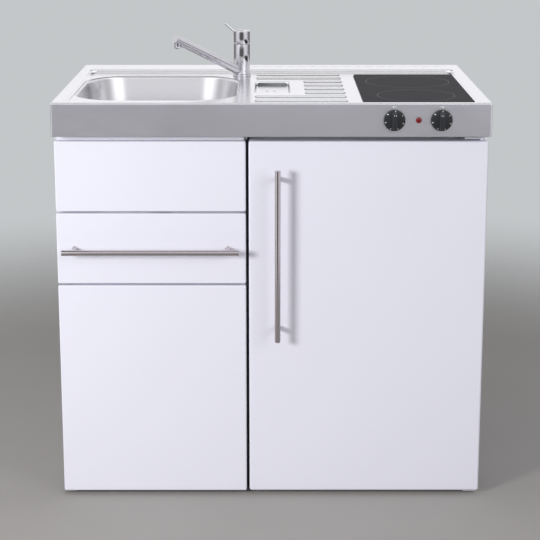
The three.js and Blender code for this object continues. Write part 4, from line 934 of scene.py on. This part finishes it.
lever = turned("lever", rounded([
    (0, 0), (lever_radius * 1.15, 0), (lever_radius, lever_length * 0.4),
    (lever_radius * 0.85, lever_length + lever_radius * 0.6),
    (0, lever_length + lever_radius * 0.9),
], 0.0015, 4), chrome, sides=32)
placed(lever, Matrix.Translation((tap_x, tap_y, lever_pivot))
       @ Matrix.Rotation(-(math.pi / 2 - lever_rise), 4, "Y"))
stands_for(lever, "tap_lever")


# ---- Hob --------------------------------------------------------------------------------------
# A plate of dark glass ceramic lies on the deck in a bead of black sealant, and two radiant
# heaters stand in a sheet pan below. Thin printed rings mark the zones.

glass_x = (glass_low.x + glass_high.x) / 2
glass_corner, glass_ease = 0.004, 0.0012
zone_line = 0.0007
zones = [(Vector((glass_x, (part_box(node)[0].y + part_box(node)[1].y) / 2, 0)), radius)
         for node, radius in (("heater_rear", 0.093), ("heater_front", 0.0815))]


def hob_finish():
    """Glass ceramic: nearly black, with printed rings and a faint speckle."""
    finish = Finish("hob_ceramic", (0.03, 0.03, 0.034), 0.07)
    graph = finish.graph
    flat = graph.node("ShaderNodeVectorMath", {"operation": "MULTIPLY"},
                      (finish.place, (1, 1, 0)))
    rings = []
    for centre, radius in zones:
        away = graph.node("ShaderNodeVectorMath", {"operation": "SUBTRACT"}, (flat, centre))
        rings.append(abs(finish.length(away) - radius) < zone_line)
    marks = rings[0] + rings[1]
    tone = graph.mix(finish.noise(1500.0), (0.024, 0.024, 0.028), (0.036, 0.036, 0.042))
    return finish.put({"Base Color": graph.mix(marks, tone, (0.20, 0.20, 0.21)),
                       "Roughness": marks * 0.3 + 0.3, "Specular IOR Level": 0.0,
                       "Coat Weight": 0.12, "Coat Roughness": 0.03})


def glass_plate():
    bm = bmesh.new()

    def at(inset):
        return rectangle(glass_low.x + inset, glass_high.x - inset, glass_low.y + inset,
                         glass_high.y - inset, glass_corner - inset, 6)

    loops = [ring(bm, at(0.0004), glass_low.z), ring(bm, at(0), glass_low.z + 0.0004),
             ring(bm, at(0), glass_high.z - glass_ease)]
    loops += rolled(bm, at, glass_high.z, glass_ease, (30, 60, 90), fine_strip)
    stack(bm, loops, "capped")
    return finished("hob_plate", bm, hob_finish())


stands_for(glass_plate(), "hob_glass")

seal_width, seal_height = 0.0016, 0.0014
sealant = moulded_finish("sealant_black", (0.014, 0.014, 0.015), (0.024, 0.024, 0.026), 0.45, 600)


def seal_bead():
    """A bead of black sealant between the deck and the glass's edge, all the way round."""
    bm = bmesh.new()
    loops = []
    for share, z in ((-0.1, 0.0001), (1.0, 0.0001), (0.8, seal_height * 0.6), (0.4, seal_height),
                     (-0.1, seal_height)):
        grow = 0.0002 + seal_width * share
        loops.append(ring(bm, rectangle(glass_low.x - grow, glass_high.x + grow,
                                        glass_low.y - grow, glass_high.y + grow,
                                        glass_corner + grow, 6), deck_level + z))
    stack(bm, loops, "joined")
    bmesh.ops.recalc_face_normals(bm, faces=bm.faces)
    goes_with(finished("hob_seal", bm, sealant), "hob_glass")


seal_bead()


def zinc_finish():
    """Zinc-plated sheet: dull, with the spangle of the plating in soft patches."""
    finish = Finish("zinc_sheet", (0.60, 0.61, 0.62), 0.42, 0.9)
    spangle = finish.graph.node("ShaderNodeTexVoronoi", {},
                                {"Vector": finish.place, "Scale": 160.0}, "Color")
    grey = finish.graph.node("ShaderNodeRGBToBW", {}, (spangle,))
    return finish.put({
        "Base Color": finish.graph.mix(grey, (0.50, 0.51, 0.52), (0.66, 0.67, 0.68)),
        "Roughness": grey * 0.12 + 0.36})


zinc = zinc_finish()
insulation = moulded_finish("insulation", (0.62, 0.58, 0.48), (0.74, 0.70, 0.60), 0.9, 260,
                            depth=0.0006)
eased("hob_pan", 0.0004, zinc)
for node in ("heater_rear", "heater_front"):
    eased(node, 0.0008, insulation)


# ---- Knobs, switches and the pilot lamp -------------------------------------------------------
# Two black moulded knobs stand on the apron: a low crowned skirt printed with white marks and a
# tall bar grip. The switches hide behind them, and a red lens sits between.

black_plastic = moulded_finish("plastic_black", (0.020, 0.021, 0.024), (0.034, 0.036, 0.041),
                               0.34, 1200)
print_white = moulded_finish("print_white", (0.86, 0.86, 0.88), (0.94, 0.94, 0.96), 0.5, 1500)
knob_low, knob_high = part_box("knob_left")
knob_radius = (knob_high.x - knob_low.x) / 2
apron_y = top_low.y
knob_depth = apron_y - knob_low.y
knob_skirt = 0.005
knob_crown = 0.0025
grip_half_width, grip_half_length = 0.006, 0.018
grip_rows = [(0, 0.004), (0, knob_skirt + 0.002), (0.0009, knob_depth - 0.0016),
             (0.0012, knob_depth - 0.0007), (0.0019, knob_depth - 0.0001), (0.0026, knob_depth)]
print_proud, print_sunk = 0.00012, 0.0006
dial_bars = [5, 58, 110, 257]
dial_dots = [(158, 0.0008), (205, 0.0009), (312, 0.0014)]
dial_reach = 0.0188
mark_gap, mark_spacing, mark_radius, mark_line = 0.0050, 0.0048, 0.0016, 0.0004
out_of_front = Matrix.Rotation(math.pi / 2, 4, "X")


def crown_at(reach):
    """How far the skirt stands proud of the apron at this distance from the knob's axis."""
    return knob_skirt + knob_crown * (1 - reach / knob_radius)


def printed(bm, outline, heights):
    """A thin raised mark, its top a little above the surface below each of its points."""
    stack(bm, [ring(bm, outline, [height - print_sunk for height in heights]),
               ring(bm, outline, [height + print_proud for height in heights])], "capped")


def on_apron(node, rise=0.0):
    """From a drawing's flat plane to the apron, at the node's middle or as far above its top."""
    low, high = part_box(node)
    z = high.z + rise if rise else (low.z + high.z) / 2
    return Matrix.Translation(((low.x + high.x) / 2, apron_y, z)) @ out_of_front


def knob_piece(node, name):
    stand = on_apron(node)
    body = turned(name, rounded([
        (0, 0.0004), (knob_radius, 0.0004), (knob_radius, knob_skirt - 0.0008),
        (knob_radius - 0.0010, knob_skirt), (0, knob_skirt + knob_crown),
    ], 0.0008, 3), black_plastic, sides=96)
    bm = bmesh.new()
    stack(bm, [ring(bm, rectangle(inset - grip_half_width, grip_half_width - inset,
                                  inset - grip_half_length, grip_half_length - inset,
                                  grip_half_width - inset - 0.0006, 6), height)
               for inset, height in grip_rows], "capped")
    body = fused(name, body, finished(name + "_grip", bm, black_plastic))
    stands_for(placed(body, stand), node)

    bm = bmesh.new()
    shapes = [(degrees, rectangle(-0.00065, 0.00065, 0.0172, 0.0205, 0.0004, 3))
              for degrees in dial_bars]
    shapes += [(degrees, circle(0, dial_reach, radius, 16)) for degrees, radius in dial_dots]
    for degrees, outline in shapes:
        spun = [Matrix.Rotation(math.radians(-degrees), 2) @ Vector(point) for point in outline]
        printed(bm, spun, [crown_at(point.length) for point in spun])
    for x in (-0.0018, 0.0018):
        tick = rectangle(x - 0.0004, x + 0.0004, 0.0105, 0.0135, 0.0003, 3)
        printed(bm, tick, [knob_depth] * len(tick))
    goes_with(placed(finished(name + "_marks", bm, print_white), stand), node)


def zone_marks(node, filled_side):
    """Two small circles printed on the apron above a knob; the filled one is the knob's zone."""
    bm = bmesh.new()
    for side in (-1, 1):
        outline, inner = [circle(side * mark_spacing / 2, 0, radius, 24)
                          for radius in (mark_radius, mark_radius - mark_line)]
        if side == filled_side:
            printed(bm, outline, [0] * len(outline))
        else:
            stack(bm, [ring(bm, points, z) for points, z in (
                (outline, -print_sunk), (outline, print_proud),
                (inner, print_proud), (inner, -print_sunk))], "joined")
    goes_with(placed(finished(node + "_zone", bm, print_white), on_apron(node, mark_gap)),
              "worktop")


knob_piece("knob_left", "knob_rear_zone")
knob_piece("knob_right", "knob_front_zone")
zone_marks("knob_left", -1)
zone_marks("knob_right", 1)
for node in ("hob_switch_left", "hob_switch_right"):
    eased(node, 0.0008, grey_plastic)


def lens_finish():
    """Clear red plastic; cells of lighter and darker red are painted light and shade for the facets
    inside.
    """
    finish = Finish("lens_red", (0.22, 0.006, 0.010), 0.08, coat=0.6)
    facet_light = finish.graph.node("ShaderNodeTexVoronoi", {},
                              {"Vector": finish.place, "Scale": 700.0})
    # Painted light and shade: the cells brighten and darken the red where the facets would bend the
    # light.
    return finish.put({"Base Color": finish.graph.mix(facet_light, (0.26, 0.006, 0.012),
                                                      (0.12, 0.003, 0.006))})


lamp_low, lamp_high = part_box("pilot_lamp")
lamp_radius = (lamp_high.x - lamp_low.x) / 2
lamp_proud, lamp_sunk = apron_y - lamp_low.y, apron_y - lamp_high.y
barrel_radius = 0.0045
dome_foot = 0.001
dome = [(lamp_radius * math.cos(turn), dome_foot + (lamp_proud - dome_foot) * math.sin(turn))
        for turn in (math.radians(15 * i) for i in range(6))]
lens = turned("pilot_lens", [
    (0, lamp_sunk), (barrel_radius, lamp_sunk), (barrel_radius, seat), (lamp_radius, seat),
    *dome, (0, lamp_proud),
], lens_finish(), sides=40)
stands_for(placed(lens, on_apron("pilot_lamp")), "pilot_lamp")


# ---- Carcass of the sink unit -----------------------------------------------------------------
# Painted sheet panels: two sides, a floor and a low back that leaves the pipes free, on four
# short black feet. The refrigerator's two front feet are made here too.

carcass_paint = moulded_finish("paint_carcass", (0.70, 0.70, 0.74), (0.76, 0.76, 0.80), 0.42, 500)
for node in ("side_left", "side_right", "unit_floor", "unit_back"):
    eased(node, 0.0010, carcass_paint)


def foot_piece(node):
    """A foot: a low pad with a slightly narrower barrel on it that meets the unit."""
    low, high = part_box(node)
    radius, top = (high.x - low.x) / 2, high.z
    barrel = radius * 0.86
    stands_for(turned(node + "_pad", rounded([
        (0, 0), (radius - 0.001, 0), (radius, 0.001), (radius, top * 0.35), (barrel, top * 0.5),
        (barrel, top), (0, top),
    ], 0.0008, 2), black_plastic, ((low.x + high.x) / 2, (low.y + high.y) / 2, 0), 48), node)


for node in ("foot_front_left", "foot_front_right", "foot_rear_left", "foot_rear_right",
             "fridge_foot_left", "fridge_foot_right"):
    foot_piece(node)


# ---- Fascia, drawer front and cupboard door ---------------------------------------------------
# Folded steel fronts, stove painted white with a half gloss, their edges rolled to a small
# radius. A black strip on the side panel's edge fills the gap to the refrigerator with painted
# shade.

def enamel_finish():
    """White stoved paint: a slight flow in the surface and very faint clouds."""
    finish = Finish("enamel_white", (0.86, 0.86, 0.96), 0.28, 0.0, 0.25)
    flow = finish.noise(220.0)
    return finish.put({
        "Base Color": finish.graph.mix(finish.noise(2.2), (0.84, 0.84, 0.935),
                                       (0.885, 0.885, 0.98)),
        "Roughness": flow * 0.08 + 0.26, "Coat Roughness": 0.12,
        "Normal": finish.bump(flow, 0.12, 0.0002)})


enamel = enamel_finish()
drawer_front_low, drawer_front_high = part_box("drawer_front")
front_plane = drawer_front_low.y
front_thickness = drawer_front_high.y - front_plane
front_back = drawer_front_high.y
front_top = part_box("fridge_door")[1].z
rear_ease = 0.0008


def painted_front(name, low, high, thickness, corner=0.0035, roll=0.0028):
    """A front panel with rolled edges, its face on the plane of the fronts."""
    bm = bmesh.new()

    def at(inset):
        return rectangle(low.x + inset, high.x - inset, low.z + inset, high.z - inset,
                         max(corner - inset, 0.0002), 4)

    loops = [ring(bm, at(rear_ease), 0), ring(bm, at(0), rear_ease),
             ring(bm, at(0), thickness - roll)]
    stack(bm, loops + rolled(bm, at, thickness, roll), "capped")
    return placed(finished(name, bm, enamel),
                  Matrix.Translation((0, front_plane + thickness, 0)) @ out_of_front)


def closed_block(bm, low, high):
    """A plain six-sided block added to a mesh."""
    made = bmesh.ops.create_cube(bm, size=1.0)
    centre, size = (Vector(low) + Vector(high)) / 2, Vector(high) - Vector(low)
    bmesh.ops.transform(bm, matrix=Matrix.Translation(centre) @ Matrix.Diagonal((*size, 1)),
                        verts=made["verts"])


fascia_low, fascia_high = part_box("fascia")
flange_sheet, flange_margin, lip_inset = 0.0015, 0.010, 0.004
lip_back = front_back - 0.002
fascia_panel = painted_front("fascia_panel", fascia_low, Vector((fascia_high.x, 0, front_top)),
                             front_thickness)
bm = bmesh.new()
for x in (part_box("side_left")[1].x + seat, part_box("side_right")[0].x - seat - flange_sheet):
    closed_block(bm, (x, lip_back, fascia_low.z + flange_margin),
                 (x + flange_sheet, fascia_high.y, front_top - flange_margin))
closed_block(bm, (fascia_low.x + lip_inset, lip_back, front_top - flange_margin),
             (fascia_high.x - lip_inset, front_back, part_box("side_left")[1].z))
goes_with(finished("fascia_flanges", bm, enamel), "fascia")
stands_for(fascia_panel, "fascia")
stands_for(painted_front("drawer_panel", drawer_front_low, drawer_front_high, front_thickness),
           "drawer_front")

# Painted shade: a black strip set in the gap beside the refrigerator, as dark as the shadow in that
# gap.
gap_shade_black = moulded_finish("gap_shade_black", (0.012, 0.012, 0.013), (0.022, 0.022, 0.024), 0.85, 900,
                            depth=0.0003)
panel_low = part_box("side_right")[0]
gap_shade_thickness = 0.0042
bm = bmesh.new()
closed_block(bm, (fascia_high.x + 0.0001, panel_low.y - seat - gap_shade_thickness, panel_low.z),
             (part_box("fridge_door")[0].x - 0.0015, panel_low.y - seat, front_top))
bmesh.ops.bevel(bm, geom=bm.edges[:], offset=0.0006, segments=2, affect="EDGES")
goes_with(finished("gap_strip", bm, gap_shade_black), "side_right")
stands_for(painted_front("cupboard_panel", *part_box("cupboard_door"), front_thickness),
           "cupboard_door")


# ---- Drawer box and runners -------------------------------------------------------------------
# The drawer is a folded tray with a rail along each side, which slides in a zinc-plated channel
# on the side panels.

eased("drawer_box", 0.0006, carcass_paint)
for node in ("runner_left", "runner_right"):
    eased(node, 0.0004, zinc)


# ---- Bar handles ------------------------------------------------------------------------------
# Round stainless bars, ground across their length, each on two round posts that are screwed
# through the front.

handle_low, handle_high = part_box("drawer_handle")
bar_radius = (handle_high.z - handle_low.z) / 2
bar_half = (handle_high.x - handle_low.x) / 2
post_radius = 0.005
post_spacing = 0.320
collar_proud, collar_height = 0.0012, 0.0015


def handle_steel(name, stretch):
    """Ground bar steel, its marks running round the bar."""
    finish = Finish(name, (0.54, 0.49, 0.51), 0.10, 1.0)
    marks = finish.noise(1.0, 5.0, stretch)
    return finish.put({
        "Base Color": finish.graph.mix(marks, (0.46, 0.415, 0.43), (0.62, 0.57, 0.585)),
        "Roughness": marks * 0.10 + 0.06, "Normal": finish.bump(marks, 0.12, 0.00002)})


def bar_handle(name, node, material, turn):
    """A bar on two posts, each with a thin collar at the front's face."""
    low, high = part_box(node)
    centre = Vector(((low.x + high.x) / 2, low.y + bar_radius, (low.z + high.z) / 2))
    bar = turned(name, rounded([(0, -bar_half), (bar_radius, -bar_half), (bar_radius, bar_half),
                                (0, bar_half)], 0.0008, 3), material, sides=48)
    face = front_plane - centre.y - seat
    collar = face - collar_height
    posts = []
    for side in (-1, 1):
        post = turned("post", rounded([
            (0, 0), (post_radius, 0), (post_radius, collar - 0.0004),
            (post_radius + collar_proud, collar), (post_radius + collar_proud, face), (0, face),
        ], 0.0005, 2), material, sides=32)
        posts.append(placed(post, Matrix.Translation((0, 0, side * post_spacing / 2))
                            @ Matrix.Rotation(-math.pi / 2, 4, "X")))
    whole = fused(name, bar, *posts)
    stands_for(placed(whole, Matrix.Translation(centre) @ turn), node)


bar_handle("handle_drawer", "drawer_handle", handle_steel("steel_bar_level", (2200, 60, 60)),
           Matrix.Rotation(math.pi / 2, 4, "Y"))
bar_handle("handle_fridge", "fridge_handle", handle_steel("steel_bar_upright", (60, 60, 2200)),
           upright)


# ---- Hinges -----------------------------------------------------------------------------------
# Pressed brackets with pins above and below each door; those of the cupboard are zinc plated and
# those of the refrigerator are painted with the cabinet.

for node in ("cupboard_hinge_top", "cupboard_hinge_bottom"):
    eased(node, 0.0003, zinc)
for node in ("fridge_hinge_top", "fridge_hinge_bottom"):
    eased(node, 0.0005, enamel)


# ---- Refrigerator cabinet, liner, shelves and freezer -----------------------------------------
# A foamed cabinet in white painted sheet with a drawn plastic liner. Two glass shelves, a
# vegetable box, a freezer box with a flap and a thermostat are inside.

eased("fridge_cabinet", 0.0015, enamel)
liner_plastic = moulded_finish("plastic_liner", (0.80, 0.81, 0.82), (0.87, 0.88, 0.89), 0.22, 400,
                               0.3)
eased("fridge_liner", 0.0006, liner_plastic)
for node in ("freezer_box", "freezer_flap", "thermostat_housing"):
    eased(node, 0.0012, liner_plastic)


def clear_finish(name, low, high, roughness, weight):
    """Clear glass or plastic, faintly tinted, a little duller where it is handled."""
    finish = Finish(name, high, roughness)
    smear = finish.noise(9.0, 3.0)
    return finish.put({"Base Color": finish.graph.mix(smear, low, high),
                       "Roughness": smear * 0.08 + roughness, "Transmission Weight": weight})


shelf_glass = clear_finish("glass_shelf", (0.80, 0.90, 0.87), (0.90, 0.96, 0.94), 0.02, 0.95)
tinted_plastic = clear_finish("plastic_tinted", (0.74, 0.84, 0.88), (0.84, 0.92, 0.95), 0.08, 0.8)
for node in ("shelf_upper", "shelf_lower"):
    eased(node, 0.0006, shelf_glass)
eased("crisper", 0.0008, tinted_plastic)
eased("thermostat_dial", 0.0006, grey_plastic, 40.0)

dial_low, dial_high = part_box("thermostat_dial")
dial_face = dial_low.x + 0.004
dial_marks = 8


def thermostat_marks():
    """Eight short lines printed round the face of the thermostat's dial."""
    bm = bmesh.new()
    tick = rectangle(-0.0004, 0.0004, 0.0115, 0.0140, 0.0003, 2)
    for i in range(dial_marks):
        turn = Matrix.Rotation(math.radians(30 + 42 * i), 2)
        spun = [turn @ Vector(point) for point in tick]
        stack(bm, [ring(bm, spun, height) for height in (-0.0002, 0.0002)], "capped")
    goes_with(placed(finished("thermostat_marks", bm, print_white), Matrix.Translation(
        (dial_face, (dial_low.y + dial_high.y) / 2, (dial_low.z + dial_high.z) / 2))
        @ Matrix.Rotation(-math.pi / 2, 4, "Y")), "thermostat_dial")


thermostat_marks()


# ---- Refrigerator door, seal and door bins ----------------------------------------------------
# A thick foamed door in the same white as the fronts, with a drawn inner lining, a soft magnetic
# seal round it and two clear bins between its ridges.

door_low, door_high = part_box("fridge_door")
stands_for(painted_front("fridge_door_panel", door_low, door_high, door_high.y - door_low.y,
                         0.005, 0.004), "fridge_door")
eased("fridge_door_liner", 0.0015, liner_plastic)
seal = moulded_finish("seal_rubber", (0.66, 0.66, 0.66), (0.74, 0.74, 0.74), 0.6, 300)
eased("fridge_gasket", 0.0016, seal)
for node in ("fridge_bin_lower", "fridge_bin_upper"):
    eased(node, 0.0008, tinted_plastic)


# ---- Compressor, tray and condenser -----------------------------------------------------------
# The compressor's black shell is two deep-drawn cups welded at a flange, on a plated tray. The
# condenser is one tube bent to and fro, with thin wires across it on both faces, on two straps.

def black_finish():
    """Black satin paint, greyed in patches by dust."""
    finish = Finish("paint_black", (0.022, 0.022, 0.025), 0.42)
    dust = finish.noise(40.0, 4.0)
    return finish.put({
        "Base Color": finish.graph.mix(dust, (0.016, 0.016, 0.018), (0.045, 0.044, 0.044)),
        "Roughness": dust * 0.25 + 0.3})


black_paint = black_finish()
shell_low, shell_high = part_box("compressor")
shell_radius = (shell_high.x - shell_low.x) / 2
shell_height = shell_high.z - shell_low.z
wall_radius = shell_radius - 0.002
seam, seam_half = shell_height * 0.52, 0.003
shell = turned("compressor_shell", rounded([
    (0, 0), (wall_radius * 0.8, 0), (wall_radius, 0.014), (wall_radius, seam - seam_half),
    (shell_radius, seam - seam_half), (shell_radius, seam + seam_half),
    (wall_radius, seam + seam_half), (wall_radius, shell_height * 0.62),
    (wall_radius * 0.93, shell_height * 0.82), (wall_radius * 0.6, shell_height * 0.97),
    (0, shell_height),
], 0.012, 6), black_paint, ((shell_low.x + shell_high.x) / 2, (shell_low.y + shell_high.y) / 2,
                            shell_low.z), 96)
stands_for(shell, "compressor")
eased("compressor_tray", 0.0006, zinc)


def repeated(name, sizes, build, material, base):
    """A piece that a Geometry Nodes tree makes from named sizes, turned into a plain mesh."""
    tree = bpy.data.node_groups.new(name, "GeometryNodeTree")
    tree.interface.new_socket("Geometry", in_out="INPUT", socket_type="NodeSocketGeometry")
    tree.interface.new_socket("Geometry", in_out="OUTPUT", socket_type="NodeSocketGeometry")
    for label, value in sizes.items():
        kind = "NodeSocketInt" if isinstance(value, int) else "NodeSocketFloat"
        tree.interface.new_socket(label, in_out="INPUT", socket_type=kind)
    graph = Graph(tree)
    entry = tree.nodes.new("NodeGroupInput")
    leave = tree.nodes.new("NodeGroupOutput")
    values = {label: Socket(graph, entry.outputs[label]) for label in sizes}
    made = build(graph, Socket(graph, entry.outputs["Geometry"]), values)
    real = graph.node("GeometryNodeRealizeInstances", {}, (made,))
    graph.feed(leave.inputs["Geometry"], graph.node(
        "GeometryNodeSetMaterial", {}, {"Geometry": real, "Material": material}))
    mesh = bpy.data.meshes.new(name)
    mesh.from_pydata(base, [], [])
    piece = linked(name, mesh)
    grown = piece.modifiers.new("grown", "NODES")
    grown.node_group = tree
    for item in tree.interface.items_tree:
        if item.item_type == "SOCKET" and item.in_out == "INPUT" and item.name in sizes:
            grown[item.identifier] = sizes[item.name]
    return applied(piece)


coil_low, coil_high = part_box("condenser")
coil_tube = 0.0024
tube_sides = 10
coil_runs = 11
coil_pitch = 0.046
coil_bend = coil_pitch / 2
coil_reach = 0.400 / 2 - coil_bend
coil_x = (coil_low.x + coil_high.x) / 2
coil_y = coil_high.y - coil_tube
coil_top = coil_high.z - 0.012


def coil_points():
    """The bends and straights of the tube, from the top down."""
    points = []
    for run in range(coil_runs):
        z = coil_top - run * coil_pitch
        side = 1 if run % 2 == 0 else -1
        points += [(coil_x - side * coil_reach, coil_y, z), (coil_x + side * coil_reach, coil_y, z)]
        if run < coil_runs - 1:
            points += [(coil_x + side * (coil_reach + coil_bend * math.sin(turn)), coil_y,
                        z - coil_bend + coil_bend * math.cos(turn))
                       for turn in (math.pi * i / 12 for i in range(1, 12))]
    return points


def coil_piece():
    """The tube along its chain of points, its rings square to the path."""
    bm = bmesh.new()
    path = [Vector(point) for point in coil_points()]
    loops = []
    for i, here in enumerate(path):
        ahead = (path[min(i + 1, len(path) - 1)] - here).normalized()
        behind = (here - path[max(i - 1, 0)]).normalized()
        along = (ahead + behind).normalized()
        across = along.cross(Vector((0, 1, 0))).normalized()
        up = across.cross(along)
        loops.append([bm.verts.new(here + a * across + b * up)
                      for a, b in circle(0, 0, coil_tube, tube_sides)])
    stack(bm, loops, "capped")
    bmesh.ops.recalc_face_normals(bm, faces=bm.faces)
    return finished("condenser_coil", bm, black_paint, sharp_angle=40)


def wire_row(graph, entry, sizes):
    """Upright wires in a row along X, each a thin tube."""
    foot = graph.node("ShaderNodeCombineXYZ", {}, {"X": sizes["first"], "Y": sizes["depth"],
                                                   "Z": sizes["bottom"]})
    step = graph.node("ShaderNodeCombineXYZ", {}, {"X": sizes["spacing"]})
    row = graph.node("GeometryNodeMeshLine", {}, {"Count": sizes["count"], "Start Location": foot,
                                                  "Offset": step})
    rise = graph.node("ShaderNodeCombineXYZ", {}, {"Z": sizes["length"]})
    line = graph.node("GeometryNodeCurvePrimitiveLine", {}, {"End": rise})
    section = graph.node("GeometryNodeCurvePrimitiveCircle", {}, {"Resolution": 6,
                                                                  "Radius": sizes["radius"]})
    wire = graph.node("GeometryNodeCurveToMesh", {}, {"Curve": line, "Profile Curve": section,
                                                      "Fill Caps": True})
    return graph.node("GeometryNodeInstanceOnPoints", {}, {"Points": row, "Instance": wire})


stands_for(coil_piece(), "condenser")

wire_radius = 0.0007
wire_count = 62
wire_spacing = 2 * coil_reach / (wire_count - 1)
wire_depth = coil_tube - wire_radius
for name, depth in (("condenser_wires_rear", coil_y + wire_depth),
                    ("condenser_wires_front", coil_y - wire_depth)):
    goes_with(repeated(name, {
        "first": coil_x - coil_reach, "depth": depth, "bottom": coil_low.z,
        "length": coil_high.z - coil_low.z, "spacing": wire_spacing, "radius": wire_radius,
        "count": wire_count,
    }, wire_row, black_paint, [(0, 0, 0)]), "condenser")

strap_half_width, strap_half_sheet = 0.006, 0.001
strap_fixings = [(coil_x + side * 0.8 * coil_reach, z) for side in (-1, 1)
                 for z in (coil_low.z + 0.032, coil_high.z - 0.032)]
strap_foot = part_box("fridge_cabinet")[1].y + seat
bm = bmesh.new()
for x in (strap_fixings[0][0], strap_fixings[2][0]):
    closed_block(bm, (x - strap_half_width, coil_y - strap_half_sheet, coil_low.z),
                 (x + strap_half_width, coil_y + strap_half_sheet, coil_high.z))
for x, z in strap_fixings:
    closed_block(bm, (x - strap_half_width, strap_foot, z - strap_half_width),
                 (x + strap_half_width, coil_y, z + strap_half_width))
goes_with(finished("condenser_straps", bm, black_paint), "condenser")


# ---- Screws -----------------------------------------------------------------------------------
# Pan-head screws with a cross hold the sink unit's back panel and the condenser's straps. One
# head is turned and cut, and is repeated at every fixing.

def screw_head():
    head = turned("screw_head", rounded([
        (0, -0.001), (0.0034, -0.001), (0.0034, 0.0010), (0.0018, 0.0019), (0, 0.0021),
    ], 0.0006, 2), zinc, sides=20)
    for half_x, half_y in ((0.0004, 0.0020), (0.0020, 0.0004)):
        bm = bmesh.new()
        closed_block(bm, (-half_x, -half_y, 0.0011), (half_x, half_y, 0.004))
        combined(head, finished("cross", bm, zinc), "DIFFERENCE")
    return head


screw = screw_head()


def screw_row(name, node, points):
    """The screw head at each point, turned to face the wall."""
    def build(graph, entry, sizes):
        source = graph.node("GeometryNodeObjectInfo", {}, {"Object": screw}, output="Geometry")
        spin = graph.node("ShaderNodeCombineXYZ", {}, {"X": sizes["turn"]})
        return graph.node("GeometryNodeInstanceOnPoints", {},
                          {"Points": entry, "Instance": source, "Rotation": spin})

    goes_with(repeated(name, {"turn": -math.pi / 2}, build, zinc, points), node)


back_low, back_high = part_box("unit_back")
side_inset, end_inset = 0.012, 0.02
screw_row("screws_unit_back", "unit_back",
          [(x, back_high.y, z) for x in (back_low.x + side_inset, back_high.x - side_inset)
           for z in (back_low.z + end_inset, (back_low.z + back_high.z) / 2,
                     back_high.z - end_inset)])
screw_row("screws_condenser", "condenser",
          [(x, coil_y + strap_half_sheet, z) for x, z in strap_fixings])
bpy.data.objects.remove(screw)
